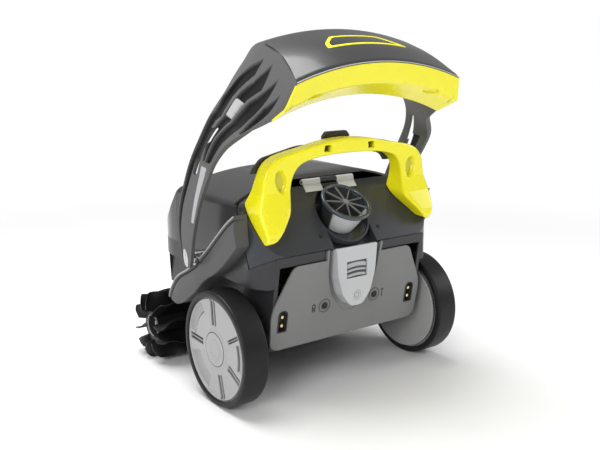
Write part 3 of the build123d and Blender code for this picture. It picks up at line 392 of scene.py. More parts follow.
# the beam's section, from its rear edge over the crest to its front edge, and the liner's from its
# rear edge round the crease to its front edge, as (y, z)
BEAM_CORNERS = [(-130.6, 516.8), (-125.6, 521.6), (-80, 547.2), (-22, 564.9), (-2, 559), (22, 531), (17, 505)]
BEAM_SETBACKS = [0, 3, 45, 22, 14, 18, 0]
BEAM_UPPER = rounded(BEAM_CORNERS, BEAM_SETBACKS, 8, closed=False)
LINER_CORNERS = [(-130.8, 515.6), (-119.5, 487), (-79, 467.8), (15, 503.2)]
LINER_OVERHANG = ((0, 30, 76, 90), (0, 11, 7, -1))
DIMPLE_X, DIMPLE_PLACE = 111.0, 36.0
DIMPLE_HALF = (15.0, 7.5)


def beam_end(line):
    """Half the beam's length at every point of the upper line: BEAM_HALF at its two edges and
    BEAM_DRAW less at the middle, as a half wave of the distance along the line."""
    gone = np.concatenate([[0], np.cumsum(np.linalg.norm(np.diff(line, axis=0), axis=1))])
    return BEAM_HALF - BEAM_DRAW * np.sin(np.pi * gone / gone[-1])


def make_beam_shell():
    """The dark upper skin: its section is the upper line and the same line 2.5 mm inside."""
    outer = divided(BEAM_UPPER, 4.0, closed=False)
    loop = np.vstack([outer, inset(outer, -2.5)[::-1]])
    half = np.concatenate([beam_end(outer), beam_end(outer)[::-1]])
    mesh_piece("beam_shell", [skin(along_beam(loop, half, 121))], "dark_plastic", "arch", ("arch_shell",),
               finish="beam_satin")


def make_beam_liner():
    """The yellow liner: a steep upper face, a crease and a lower strip, with two finger dimples
    pressed into the crease over an oval of x and section length."""
    outer = divided(rounded(LINER_CORNERS, [0, 5, 3, 0], 8, closed=False), 1.6, closed=False)
    inner = inset(outer, 3.0)
    loop = np.vstack([outer, inner[::-1]])
    length = np.concatenate([[0], np.cumsum(np.linalg.norm(np.diff(outer, axis=0), axis=1))])
    reach = BEAM_HALF - 0.6 + np.interp(length, *LINER_OVERHANG)
    rows = along_beam(loop, np.concatenate([reach, reach[::-1]]), 221)
    place = np.concatenate([length, length[::-1]])
    outside = np.concatenate([np.ones(len(outer)), np.zeros(len(inner))])
    x = rows[..., 0]
    beside = np.abs(x) - DIMPLE_X
    oval = np.hypot(beside / DIMPLE_HALF[0], (place[None] - DIMPLE_PLACE + 0.22 * beside) / DIMPLE_HALF[1])
    press = smoothstep(1.0, 0.6, oval) * outside
    rows[..., 1] += 4.2 * press
    rows[..., 2] += 3.4 * press
    # painted shade: the dimples are darkened half way towards the yellow's dark olive shadow colour
    mesh_piece("beam_liner", [skin(rows)], "yellow_plastic", "arch", ("arch_liner",), sharp=20,
               shade=0.5 * press)
    rim = np.stack([-129.4 + 1.1 * np.cos(np.linspace(0, TWO_PI, 10, False)),
                    517.2 + 1.1 * np.sin(np.linspace(0, TWO_PI, 10, False))], 1)
    mesh_piece("beam_rim", [skin(along_beam(rim, BEAM_HALF - 1, 121))], "light_grey", "arch")


# stations from the beam's end to the pivot: outer front, outer rear, inner rear, inner front
ARM_RAILS = [
    [(155, 17, 478), (155, -131, 489.8), (155, -79, 438.5), (155, 15, 475)],
    [(169, 19, 479), (160, -94, 455), (159, -66, 437), (162, 17, 473)],
    [(186, 21, 460), (173, -56, 429), (168, -51, 426), (176, 19, 455)],
    [(199, 25, 440), (189, -38, 415), (181, -36, 412), (189, 23, 436)],
    [(207, 33, 418), (203, -27, 402), (195, -25, 399), (198, 31, 415)],
    [(211, 44, 398), (211, -18, 388), (204, -17, 386), (204, 42, 396)],
    [(213.5, 55, 380), (214.4, -6, 371), (208, -5, 370), (206.5, 53, 379)],
    [(214.6, 68, 358), (214.6, 6, 353), (208.5, 7, 353), (208, 66, 358)],
    [(214.6, 83, 330), (214.6, 22, 329), (208.5, 23, 329), (208, 81, 330)],
    [(214.6, 97, 300), (214.6, 39, 298), (208.5, 40, 298), (208, 95, 300)],
    [(214.6, 103, 268), (214.6, 54, 262), (208.5, 55, 262), (208, 101, 268)],
    [(214.6, 99, 238), (214.6, 62, 232), (208.5, 63, 232), (208, 98, 238)],
    [(214.6, 91, 210), (214.6, 68, 206), (208.5, 69, 206), (208, 90, 210)],
    [(214.6, 85, 203.5), (214.6, 74, 202.5), (208.5, 75, 202.5), (208, 84, 203.5)],
]
ARM_CROWN = [0, 1, 2, 3, 3, 2, 1.4, 1.2, 1.2, 1.2, 1.2, 1.2, 1.2, 0.5]
CAP_FADE = 2.6
REAR_CREASE, CREASE_PLACE = np.array((0, -10.1, -10.5)), 0.416
SLOT_CORNERS = [(38, 352), (50, 352), (14, 424), (2, 424)]
BOSS_HALF, BOSS_TURN = np.array((7.0, 15.0)), np.radians(-14)
# vents in the outer face, darkened with painted shade, each by stations u and the shares f of its front and
# rear edges
ARM_VENTS = [
    ((0.48, 1.05, 1.88, 3.0, 5.1, 7.0, 9.4, 12.2), (0.53, 0.40, 0.14, 0.03, 0.03, 0.04, 0.05, 0.06),
     (0.53, 0.52, 0.38, 0.27, 0.30, 0.28, 0.24, 0.20)),
    ((0.43, 1.2, 1.7, 2.65, 4.1, 5.1, 6.0), (0.65, 0.56, 0.47, 0.36, 0.38, 0.47, 0.58),
     (0.65, 0.70, 0.62, 0.57, 0.57, 0.60, 0.65)),
    ((0.55, 1.4, 1.7, 2.65, 4.2, 5.6, 6.0), (0.80, 0.72, 0.67, 0.62, 0.62, 0.67, 0.70),
     (0.80, 0.84, 0.85, 0.86, 0.88, 0.90, 0.86)),
    ((0.73, 1.4, 2.2, 2.9), (0.92, 0.88, 0.90, 0.955), (0.92, 0.965, 0.98, 0.985)),
]


def arm_face(rails, f):
    """Points across the outer face: straight from front to rear, plus a crown of
    c (1 - |2f - 1|^2.6) away from the inner face, plus what the beam's upper line stands over
    the straight at the first station, faded out evenly by station CAP_FADE."""
    n = len(rails)
    u = np.linspace(0, len(ARM_CROWN) - 1, n)
    crown = np.interp(u, range(len(ARM_CROWN)), ARM_CROWN)
    front, rear = rails[:, 0, None], rails[:, 1, None]
    out = rails[:, :2].mean(1) - rails[:, 2:].mean(1)
    out /= np.linalg.norm(out, axis=1, keepdims=True)
    lift = crown[:, None] * (1 - np.abs(2 * f[None] - 1) ** 2.6)
    upper = divided(BEAM_UPPER, 4.0, closed=False)
    line = along_beam(upper, beam_end(upper), 3)[-1][::-1]
    gone = np.concatenate([[0], np.cumsum(np.linalg.norm(np.diff(line, axis=0), axis=1))])
    end = np.stack([np.interp(f * gone[-1], gone, line[:, k]) for k in range(3)], 1)
    start = rails[0, 0] + f[:, None] * (rails[0, 1] - rails[0, 0])
    fade = np.clip(1 - u / CAP_FADE, 0, 1)[:, None, None]
    straight = front + f[None, :, None] * (rear - front)
    return straight + lift[..., None] * out[:, None] + fade * (end - start), out


def vent_mask(u, f):
    """1 inside a vent and 0 outside: each is a band between two edges that meet in a point."""
    total = np.zeros(np.broadcast(u, f).shape)
    for at, front, rear in ARM_VENTS:
        inside = smoothstep(-0.006, 0.008, f - np.interp(u, at, front))
        inside = inside * smoothstep(-0.006, 0.008, np.interp(u, at, rear) - f)
        total = np.maximum(total, inside * (u > at[0]) * smoothstep(at[-1], at[-1] - 0.06, u))
    return total


def make_arm(side, word, depth):
    """An arm with its end cap: a loop of outer face, rear edge, inner face and front edge at
    every station, with vents of a depth pressed into the outer face and a web into the inner one."""
    stations = 420
    rails = spline(ARM_RAILS, stations)
    u = np.linspace(0, len(ARM_RAILS) - 1, stations)[:, None]
    f = np.linspace(0, 1, 171)
    outer, out = arm_face(rails, f)
    mask = vent_mask(u, f[None])
    deep = depth * np.interp(u[:, 0], [0, 2, 5, 13], [1, 1, 5 / 6, 4 / 6])[:, None]
    outer -= (mask * deep)[..., None] * out[:, None]
    g = np.linspace(0, 1, 61)
    h = np.linspace(0, 1, 14)[1:-1]
    side_way = rails[:, 1, None] + h[None, :, None] * (rails[:, 2] - rails[:, 1])[:, None]
    crease = np.minimum(h / CREASE_PLACE, (1 - h) / (1 - CREASE_PLACE))[None, :, None]
    side_way = side_way + crease * np.clip(1 - u / CAP_FADE, 0, 1)[..., None] * REAR_CREASE
    inner = rails[:, 2, None] + g[None, :, None] * (rails[:, 3] - rails[:, 2])[:, None]
    web = smoothstep(0.26, 0.29, g[None]) * smoothstep(0.74, 0.71, g[None])
    web = web * smoothstep(5.2, 5.35, u) * smoothstep(11.6, 11.3, u)
    inner += (web * 2.6)[..., None] * out[:, None]
    rows = np.concatenate([outer, side_way, inner], 1)
    # painted shade: the pressed vents and the recessed web are darkened towards the finish's shadow colour
    shade = np.concatenate([mask, np.zeros(side_way.shape[:2]), web], 1)
    rows[..., 0] *= side
    piece = mesh_piece(f"arm_shell_{word}", [skin(rows)], "grey_plastic", "arch", (f"arm_{word}",), sharp=30,
                       shade=shade, finish="cap_grey")
    cut_slot(piece, side)


def cut_slot(piece, side):
    """Cuts the long slot through an arm with a rounded prism, leaving no cutter behind."""
    outline = rounded(SLOT_CORNERS, 5)
    rows = np.stack([np.column_stack([np.full(len(outline), side * x), outline]) for x in (190, 230)])
    points, faces = skin(rows)
    mesh = bpy.data.meshes.new("slot_cutter")
    mesh.from_pydata(placed(points).tolist(), [], faces)
    edit = bmesh.new()
    edit.from_mesh(mesh)
    bmesh.ops.recalc_face_normals(edit, faces=edit.faces[:])
    edit.to_mesh(mesh)
    edit.free()
    cutter = bpy.data.objects.new("slot_cutter", mesh)
    bpy.context.scene.collection.objects.link(cutter)
    cut = piece.modifiers.new("Slot", "BOOLEAN")
    cut.object = cutter
    cut.solver = "EXACT"
    settle(piece)
    bpy.data.objects.remove(cutter)
    bpy.data.meshes.remove(mesh)


def settle(piece):
    """Puts the shape that a piece's modifiers make into its mesh, and clears them."""
    view = bpy.context.evaluated_depsgraph_get()
    view.update()
    made = bpy.data.meshes.new_from_object(piece.evaluated_get(view), depsgraph=view)
    piece.modifiers.clear()
    piece.data = made


def on_arm(side, u, f, lift=0.0):
    """Points of an arm's outer face at stations u and shares f, raised by lift."""
    count, across = 1301, 201
    grid, out = arm_face(spline(ARM_RAILS, count), np.linspace(0, 1, across))
    u, f = np.broadcast_arrays(np.asarray(u, float), np.asarray(f, float))
    i = np.clip((u * (count - 1) / (len(ARM_RAILS) - 1)).round().astype(int), 0, count - 1)
    j = np.clip((f * (across - 1)).round().astype(int), 0, across - 1)
    return (grid[i, j] + np.broadcast_to(lift, u.shape)[..., None] * out[i]) * (side, 1, 1)


def arm_plate(side, u0, u1, f0, f1, top, base):
    """A low plate on an arm's outer face, between stations and shares, its sides drawn in."""
    a, b = np.linspace(0, 1, 25)[:, None], np.linspace(0, 1, 9)[None]
    u = u0 + (u1 - u0) * a + 0 * b
    f = (f0[0] + (f0[1] - f0[0]) * a) * (1 - b) + (f1[0] + (f1[1] - f1[0]) * a) * b
    edge = smoothstep(0, 0.08, a) * smoothstep(1, 0.92, a) * smoothstep(0, 0.16, b) * smoothstep(1, 0.84, b)
    return slab(on_arm(side, u, f, base + (top - base) * (0.4 + 0.6 * edge)), on_arm(side, u, f, base - 1.2))


def make_arm_details(side, word):
    """The light clip and inlay in the vents and the oval boss over the pivot."""
    parts = [arm_plate(side, 1.85, 2.5, (0.43, 0.38), (0.60, 0.57), -0.4, -5.0)]
    parts.append(arm_plate(side, 6.2, 9.8, (0.56, 0.80), (0.86, 0.95), 0.3, -1.0))
    mesh_piece(f"arm_inlays_{word}", parts, "light_grey", "arch")
    a = np.linspace(0, TWO_PI, 48, endpoint=False)
    oval = BOSS_HALF * np.stack([np.cos(a), np.sin(a)], 1)
    cosine, sine = np.cos(BOSS_TURN), np.sin(BOSS_TURN)
    oval = oval @ np.array([[cosine, sine], [-sine, cosine]])
    rows = [np.column_stack([np.full(48, side * x), PIVOT[0] + k * oval[:, 0], PIVOT[1] + 3 + k * oval[:, 1]])
            for x, k in ((213, 1.0), (215.2, 1.0), (215.8, 0.92), (215.8, 0.5))]
    mesh_piece(f"pivot_boss_{word}", [skin(np.stack(rows))], "light_grey", "arch", finish="silver")
    screw = turned([(212, 0.01), (212, 3.2), (215.9, 3.2), (215.95, 2.6), (215.95, 0.01)], 24)
    screw = screw * (side, 1, 1) + (0, PIVOT[0], PIVOT[1] - 4)
    mesh_piece(f"pivot_screw_{word}", [skin(screw, along=True)], "steel", "arch")


def make_badge():
    """A bare badge on the beam: a raised frame, thick at one end and pointed at the other, round
    a plain plate. Its outline is laid on the upper line by x and by length along the line."""
    line = divided(BEAM_UPPER, 1.0, closed=False)
    length = np.concatenate([[0], np.cumsum(np.linalg.norm(np.diff(line, axis=0), axis=1))])

    def lay(points, lift):
        raised = np.stack([np.interp(points[:, 1], length, inset(line, lift)[:, k]) for k in (0, 1)], 1)
        radius = raised[:, 1] - BEAM_CENTRE_Z
        a = points[:, 0] / radius
        return np.column_stack([radius * np.sin(a), raised[:, 0], BEAM_CENTRE_Z + radius * np.cos(a)])

    outer = rounded(BADGE_OUTER, [5, 5, 3, 1, 2, 5], 6)
    inner = rounded(BADGE_INNER, [4, 4, 3, 1, 2, 4], 6)
    outer, inner = divided(outer, 5)[:160], divided(inner, 5)[:160]
    pick = np.linspace(0, 1, 120, endpoint=False)

    def even(path):
        full = np.vstack([path, path[:1]])
        gone = np.concatenate([[0], np.cumsum(np.linalg.norm(np.diff(full, axis=0), axis=1))])
        return np.stack([np.interp(pick * gone[-1], gone, full[:, k]) for k in (0, 1)], 1)

    outer, inner = even(outer), even(inner)
    rows = np.stack([lay(outer, -1.0), lay(outer, 0.7), lay(inner, 0.7), lay(inner, -1.0)])
    mesh_piece("badge_frame", [skin(rows, along=True)], "yellow_plastic", "arch")
    middle = inner.mean(0)
    steps = ((1.0, -1.0), (1.0, 0.2), (0.6, 0.2), (0.05, 0.2))
    plate = np.stack([lay(middle + (inner - middle) * k, h) for k, h in steps])
    mesh_piece("badge_plate", [skin(plate)], "black_gloss", "arch")


BADGE_OUTER = [(-46, 80), (-68, 60), (-72, 46), (84, 51), (78, 57), (44, 80)]
BADGE_INNER = [(-43, 76), (-61, 60), (-63, 50.5), (68, 54.5), (66, 57), (40, 76)]


# ---------------------------------------------------------------- carry handle
# half stations from the middle of the grip to the foot: outer edge (x, z) and inner edge (x, z)
HANDLE_RAILS = [
    [(0, GRIP_TOP), (0, 378.5)], [(40, 398.8), (44, 377.2)], [(79, 391.6), (80, 372)],
    [(115, 385), (98, 363)], [(138, 377.5), (106, 351)], [(151, 366), (109, 341)],
    [(158, 349), (110.5, 330)], [(161, 331), (111.5, 314)], [(168, 312), (115, 299)],
    [(169, 292), (127, 284)], [(165, 271), (139, 271)], [(161, 257), (146, 263)],
]
# the rear and front faces, as (z, y)
HANDLE_REAR = [
    (254, -61), (260, -71.5), (268, -74.8), (276, -74.6), (306, -62), (330, -57.2), (345, -56.8),
    (402, -56.8),
]
HANDLE_FRONT = [(254, -58), (262, -53), (312, -14.5), (334, -22.8), (352, -29), (402, -29.2)]
GRIP_WINDOW_X, GRIP_WINDOW_Z = 43.0, 388.0
SCOOP_DEPTH, WINDOW_DEPTH = 7.0, 9.0


def make_carry_handle():
    """The carry handle: at every station a rounded rectangle between its outer and inner edges
    and its rear and front faces, with thumb scoops in the legs and two windows in the grip."""
    half = spline(HANDLE_RAILS, 230)
    mirrored = half[:0:-1] * (-1, 1)
    path = np.concatenate([mirrored, half])
    loop = rounded([(0, 0), (1, 0), (1, 1), (0, 1)], [0.17, 0.17, 0.12, 0.12], 7)
    loop = divided(loop, 0.028)
    a, b = loop[:, 0], loop[:, 1]
    flat = path[:, 0, None] + a[None, :, None] * (path[:, 1] - path[:, 0])[:, None]
    x, z = flat[..., 0], flat[..., 1]
    rear = np.interp(z, *zip(*HANDLE_REAR))
    front = np.interp(z, *zip(*HANDLE_FRONT))
    y = rear + b[None] * (front - rear)
    at_rear = smoothstep(0.25, 0.05, b)[None]
    drop = (362 - z) / 34
    half_wide = np.interp(drop, [0, 0.4, 1], [13, 12, 8])
    oval = np.hypot((np.abs(x) - 130 + 3 * drop) / half_wide, (z - 345) / 20)
    scoop = smoothstep(1.0, 0.6, oval) * at_rear
    window = smoothstep(6.2, 4.6, np.abs(np.abs(x) - GRIP_WINDOW_X))
    window = window * smoothstep(5.2, 3.6, np.abs(z - GRIP_WINDOW_Z)) * at_rear
    y = y + SCOOP_DEPTH * scoop + WINDOW_DEPTH * window
    rows = np.stack([x, y, z], -1)
    # painted shade: the scoops are darkened a little and the window pockets fully, towards the yellow's
    # shadow colour
    mesh_piece("carry_handle_shell", [skin(rows)], "yellow_plastic", "hatch", ("carry_handle",), sharp=40,
               shade=np.maximum(0.3 * scoop, 1.0 * window))


# ---------------------------------------------------------------- wheels and roller
# marks pressed into a hub: (first radius, last radius, angle in degrees, half width); 90 is up, 0 rearwards
HUB_SLOTS = [
    (36, 77.5, 95, 7.0), (37, 75, 178, 5.6), (39, 77.5, 285, 6.6), (39, 77, 333, 6.2), (41, 76, 30, 3.4),
]
# crescents: (first radius, last radius, first angle, last angle)
HUB_CRESCENTS = [(59, 76, 121, 172), (50, 76, 196, 252), (62, 76, 345, 383)]


# profiles as (along the axle, radius): tyre, the hub behind its face, and the cap
TYRE_CORNERS = [
    (174.2, 80.1), (174.2, 88), (177, 89.9), (213, 89.9), (215.9, 88), (215.9, 82.5), (214.6, 80.1),
]
TYRE_SETBACKS = [0.4, 2, 2.4, 2.4, 2, 0.8, 0.4]
HUB_FACE = 214.2
HUB_BEHIND = [
    (213.6, 79.9), (190, 79.9), (178, 79.9), (178, 75.9), (206, 75.9), (206, 15.5), (180, 15.5), (180, 11.7),
    (211, 11.7), (211, 26.9),
]
POLE_R = 0.01
CAP_CORNERS = [
    (211.2, POLE_R), (211.2, 26.9), (213.6, 26.9), (214.9, 25.4), (213.9, 16), (215.7, 14.6), (215.7, 12.4),
    (214.6, 11), (214.9, POLE_R),
]
CAP_SETBACKS = [0, 0.3, 0.5, 1, 3, 0.8, 0.8, 1, 0]


def hub_relief(r, angle):
    """Depth and shadow of the marks at a radius and angle on a hub's face."""
    deep, shade = np.zeros(r.shape), np.zeros(r.shape)
    for r0, r1, degrees, half in HUB_SLOTS:
        turn = angle - np.radians(degrees)
        across, along = r * np.sin(turn), r * np.cos(turn)
        inside = smoothstep(half, half - 1.2, np.abs(across))
        inside = inside * smoothstep(r0, r0 + 1.5, along) * smoothstep(r1, r1 - 1.5, along)
        ridge = 1 - 0.75 * smoothstep(0.34, 0.2, np.abs(across / half))
        deep = np.maximum(deep, 3.2 * inside * ridge)
        shade = np.maximum(shade, inside * ridge)
    for r0, r1, d0, d1 in HUB_CRESCENTS:
        turn = np.mod(np.degrees(angle) - d0, 360)
        span = d1 - d0
        within = smoothstep(0, 3, turn) * smoothstep(span, span - 3, turn)
        shelf = smoothstep(r0, r0 + 1.4, r) * smoothstep(r1, r1 - 1.4, r)
        step = smoothstep(r0 + 4.6, r0 + 3.2, r) * smoothstep(r0, r0 + 1.4, r)
        deep = np.maximum(deep, 2.2 * within * shelf)
        shade = np.maximum(shade, within * np.maximum(0.16 * shelf, 0.85 * step))
    return deep, shade


def make_wheel(side, word):
    """Tyre, hub and cap of a wheel, each a profile turned about the axle."""
    body = f"wheel_{word}"
    centre = (0, 0, WHEEL_R)
    tyre = turned(rounded(TYRE_CORNERS, TYRE_SETBACKS, 6), 160) * (side, 1, 1) + centre
    mesh_piece(f"tyre_skin_{word}", [skin(tyre, along=True)], "tyre", body, (f"tyre_{word}",))
    face = np.linspace(27.2, 79, 90)
    dish = HUB_FACE - 1.6 * smoothstep(76.5, 73, face) * smoothstep(28, 34, face)
    behind = np.array(HUB_BEHIND)
    r, x = np.concatenate([face, behind[:, 1]]), np.concatenate([dish, behind[:, 0]])
    a = np.linspace(0, TWO_PI, 540, endpoint=False)[:, None]
    deep, shade = hub_relief(r[None] + 0 * a, a + 0 * r[None])
    on_face = (np.arange(len(r)) < len(face))[None]
    deep, shade = deep * on_face, shade * on_face
    rim_line = smoothstep(1.2, 0.5, np.abs(r - 78.6))[None] * on_face
    shade = np.maximum(shade, rim_line)
    points = np.stack([side * (x[None] - deep), -r[None] * np.cos(a), WHEEL_R + r[None] * np.sin(a)], -1)
    mesh_piece(f"hub_{word}", [skin(points, along=True)], "light_grey", body, (f"wheel_hub_{word}",),
               sharp=34, shade=shade, finish="hub_grey")
    cap = rounded(CAP_CORNERS, CAP_SETBACKS, 5)
    cap[:, 1] = np.maximum(cap[:, 1], POLE_R)
    turned_cap = turned(cap, 120) * (side, 1, 1) + centre
    lines = smoothstep(1.0, 0.3, np.abs(cap[:, 1] - 26.6))[None] + 0 * a[:120]
    mesh_piece(f"hub_cap_{word}", [skin(turned_cap, along=True)], "light_grey", body, (f"wheel_cap_{word}",),
               shade=lines, finish="hub_grey")


def blade_rows(x0, x1, phase):
    """One lamella: across its reach v it stands on the sleeve and leans by a wave along x that
    grows with v, and its thickness falls from 3.2 to 1.6 mm; the outer end is rounded off."""
    x = np.linspace(x0, x1, max(12, int((x1 - x0) / 4)))[:, None]
    v = np.linspace(0, 1, 9)[None]
    end = np.clip((np.abs(x) - ROLLER_END) / (WHEEL_SIDE - ROLLER_END), 0, 1)
    reach = BLADE_R - SLEEVE_R
    radius = SLEEVE_R - 0.6 + v * (reach + 0.4 - 15 * end**2)
    radius = np.maximum(radius, SLEEVE_R - 0.6 + 6 * end)
    lean = phase + v * (0.09 * np.sin(x / 11.0 + phase * 3) + 0.12 * end)
    thick = (3.2 - 1.6 * v) / 2 / radius
    faces = [np.stack([x + 0 * v, ROLLER_Y + radius * np.cos(lean + s * thick),
                       ROLLER_Z + radius * np.sin(lean + s * thick)], -1) for s in (1, -1)]
    return slab(*faces)


def make_roller():
    """The roller's three sections of sleeve and lamellae, and the ring that ends the tube."""
    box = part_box("roller_brackets")
    edge = box[1].x / MM + 2.0
    inner = edge - 4.0 - 9.0
    parts = []
    for x0, x1 in ((-WHEEL_SIDE, -edge), (-inner, inner), (edge, WHEEL_SIDE)):
        low, high = max(x0, -ROLLER_END), min(x1, ROLLER_END)
        sleeve = [(low, SLEEVE_BORE), (low, SLEEVE_R), (high, SLEEVE_R), (high, SLEEVE_BORE)]
        parts.append(skin(turned(sleeve, 64) + (0, ROLLER_Y, ROLLER_Z), along=True))
        parts += [blade_rows(x0, x1, TWO_PI * (k + 0.5) / BLADES) for k in range(BLADES)]
    mesh_piece("roller_lamellae", parts, "rubber", "roller", ("roller_blades",), sharp=35)
    rings = [turned(ring_profile(s * 202.2, 20.5, 1.6), 64) + (0, ROLLER_Y, ROLLER_Z) for s in (-1, 1)]
    rings = [skin(ring, along=True) for ring in rings]
    mesh_piece("roller_rings", rings, "light_grey", "roller")


# ---------------------------------------------------------------- hull
FENDER_UPPER = [
    (-33, 300), (-10, 284), (20, 258), (52, 230), (86, 204), (120, 184), (150, 166), (172, 138), (175, 128),
]
FENDER_LOWER = [
    (-38, 254), (-16, 232), (14, 206.5), (40, 191), (64, 176.5), (86, 157), (108, 141), (130, 127),
    (150, 119),
]


def make_fender(side, word):
    """A mudguard band: straight from its upper to its lower line with a crown, a raised lip along
    the upper line and a groove beside the lip, 2 mm thick, with walls back to the hull."""
    upper, lower = spline(FENDER_UPPER, 181)[:, None], spline(FENDER_LOWER, 181)[:, None]
    f = np.linspace(0, 1, 81)[None, :, None]
    flat = upper + f * (lower - upper)
    width = np.linalg.norm(lower - upper, axis=2, keepdims=True)
    down = f * width
    lip = smoothstep(5.4, 4.2, down)
    groove = smoothstep(5.2, 6.2, down) * smoothstep(9.0, 8.0, down)
    out = 195.5 + 3.2 * (1 - (2 * f - 1) ** 2) + 1.2 * lip - 2.2 * groove
    edge = smoothstep(0, 0.02, f) * smoothstep(1, 0.97, f)
    out = out - 2.5 * (1 - edge)
    outer = np.concatenate([side * out, flat], 2)
    inner = np.concatenate([side * (174.2 + 0 * out), flat], 2)
    # painted shade: the groove beside the lip is darkened towards the finish's shadow colour
    shade = np.concatenate([(0.8 * groove).ravel(), np.zeros(groove.size)])
    mesh_piece(f"fender_band_{word}", [slab(outer, inner)], "grey_plastic", "hull", (f"fender_{word}",),
               sharp=38, shade=shade, finish="fender_grey")
    lips = [np.column_stack([np.full(181, side * x), spline(FENDER_UPPER, 181) + (0, dz)])
            for x, dz in ((196.6, 0.2), (198.4, -0.4), (198.6, -2.2), (197.0, -3.0))]
    mesh_piece(f"fender_lip_{word}", [skin(np.stack(lips, 1))], "light_grey", "hull")


def panel_y(z):
    """The rear panel's face at a height."""
    return PANEL_Y - PANEL_LEAN * (z - PANEL_Z)


def on_panel(x, z, out):
    """Points on the rear panel, raised by out."""
    x, z = np.broadcast_arrays(np.asarray(x, float), np.asarray(z, float))
    return np.stack([x, panel_y(z) - out, z], -1)


def flat_mark(corners, setback, raise_by, sink=0.6):
    """A thin raised mark on the rear panel inside an outline of (x, z)."""
    path = rounded(corners, setback, 5)
    middle = path.mean(0)
    rows = [on_panel(*(middle + (path - middle) * k).T, out) for k, out in
            ((1.0, -sink), (1.0, raise_by * 0.6), (0.94, raise_by), (0.5, raise_by))]
    return skin(np.stack(rows))


def bar(x, z, half_x, half_z, raise_by=0.45):
    """A small upright mark."""
    corners = [(x + i * half_x, z + j * half_z) for i, j in ((-1, -1), (1, -1), (1, 1), (-1, 1))]
    return flat_mark(corners, 0.4, raise_by)


def ring_on_panel(x, z, radius, thick):
    """A fine ring lying on the rear panel."""
    a = np.linspace(0, TWO_PI, 64, endpoint=False)[:, None]
    b = np.linspace(0, TWO_PI, 10, endpoint=False)[None]
    r = radius + thick * np.cos(b)
    points = on_panel(x + r * np.cos(a), z + r * np.sin(a), 0.0)
    points[..., 1] -= thick * 0.8 * np.sin(b)
    return skin(points, along=True)


# the bars of the two signs: (x, height over the lenses, half width, half height)
BATTERY_X, SERVICE_X = -LENS_X - 21, LENS_X + 17
BATTERY_SIGN = [
    (BATTERY_X, -6.4, 2.6, 0.45), (BATTERY_X, 4.4, 2.6, 0.45), (BATTERY_X - 2.6, -1, 0.45, 5.8),
    (BATTERY_X + 2.6, -1, 0.45, 5.8), (BATTERY_X, 5.6, 1.3, 0.6), (BATTERY_X, -3.4, 1.5, 1.0),
    (BATTERY_X, -0.4, 1.5, 1.0),
]
SERVICE_SIGN = [
    (SERVICE_X, -2.6, 0.6, 4.6), (SERVICE_X, 4.4, 1.9, 0.7), (SERVICE_X - 1.4, 6.0, 0.6, 1.2),
    (SERVICE_X + 1.4, 6.0, 0.6, 1.2),
]


def make_rear_details():
    """Rings round the status lenses, and a battery sign and a service sign beside them."""
    rings = [ring_on_panel(s * LENS_X, PANEL_Z, 10.6, 0.8) for s in (-1, 1)]
    rings += [ring_on_panel(s * LENS_X, PANEL_Z, 5.6, 0.7) for s in (-1, 1)]
    mesh_piece("status_rings", rings, "grey_plastic", "hull", finish="fender_grey")
    signs = [bar(x, PANEL_Z + z, half_x, half_z) for x, z, half_x, half_z in BATTERY_SIGN + SERVICE_SIGN]
    mesh_piece("panel_signs", signs, "grey_plastic", "hull", finish="mark_dark")


def make_power_sign():
    """The power sign: a broken ring and a bar, proud of the key by 0.35 mm."""
    a = np.linspace(np.radians(122), np.radians(418), 48)[:, None]
    b = np.linspace(0, TWO_PI, 8, endpoint=False)[None]
    r = 4.6 + 0.5 * np.cos(b)
    face = LATCH_FACE - 0.1 - 0.3 * np.sin(b)
    points = np.stack([r * np.cos(a), face + 0 * a, KEY_Z + r * np.sin(a)], -1)
    stem = np.stack([np.stack([0.5 * np.cos(b[0]), face[0], np.full(8, KEY_Z + h)], 1) for h in (1.2, 6.2)])
    mesh_piece("power_sign", [skin(points), skin(stem)], "grey_plastic", "power", finish="mark_grey")


def make_button():
    """The ribbed release button: a face whose height over x and z is a crown with three bowed
    ribs, on straight walls."""
    x = np.linspace(-BUTTON_HALF + 0.3, BUTTON_HALF - 0.3, 61)[None]
    z = np.linspace(BUTTON_Z0 + 0.3, BUTTON_Z1 - 0.3, 79)[:, None]
    bow = z + 2.6 * (x / BUTTON_HALF) ** 2
    ribs = sum(smoothstep(half, half - 1.3, np.abs(bow - at)) for at, half in BUTTON_RIBS)
    edge = smoothstep(0, 2.2, BUTTON_HALF - np.abs(x))
    edge = edge * smoothstep(0, 1.6, np.minimum(z - BUTTON_Z0, BUTTON_Z1 - z))
    y = -74.2 - 3.6 * np.clip(ribs, 0, 1) * (0.35 + 0.65 * edge) + 1.2 * (x / BUTTON_HALF) ** 2
    front = np.stack([x + 0 * z, y, z + 0 * x], -1)
    back = np.stack([x + 0 * z, -68 + 0 * y, z + 0 * x], -1)
    shade = np.concatenate([(1 - np.clip(ribs, 0, 1)).ravel(), np.zeros(y.size)])
    corners = ((-24, 182), (24, 182), (24, 216), (-24, 216))
    flange = [np.array([(i, y, j) for i, j in corners], float) for y in (-74.3, -72.3)]
    part = skin(np.stack(flange))
    mesh_piece("button_cap", [slab(front, back), part], "light_grey", "button", ("release_button",),
               shade=np.concatenate([shade, np.ones(8)]))


# profiles as (along the nozzle's axis, radius), and a vane's section as (along, across)
NOZZLE_RIM = [(-7, 38.4), (-6.4, 41.2), (-2, 41.7), (-0.2, 40.6), (-0.3, 36.6), (-3.4, 35.4), (-6.6, 36.4)]
NOZZLE_CUP = [(-45, 27.6), (-6, 37.8), (-6, 36), (-45, 24.6)]
NOZZLE_HUB = [(-4.8, POLE_R), (-4.8, 5.2), (-1.4, 5.2), (-0.4, 3.6), (-0.2, POLE_R)]
VANE_SECTION = [(-4.2, -0.55), (-4.2, 0.55), (-1.5, 0.4), (-1.5, -0.4)]
VANES, VANE_RADII = 9, (4.0, 20.0, 35.4)


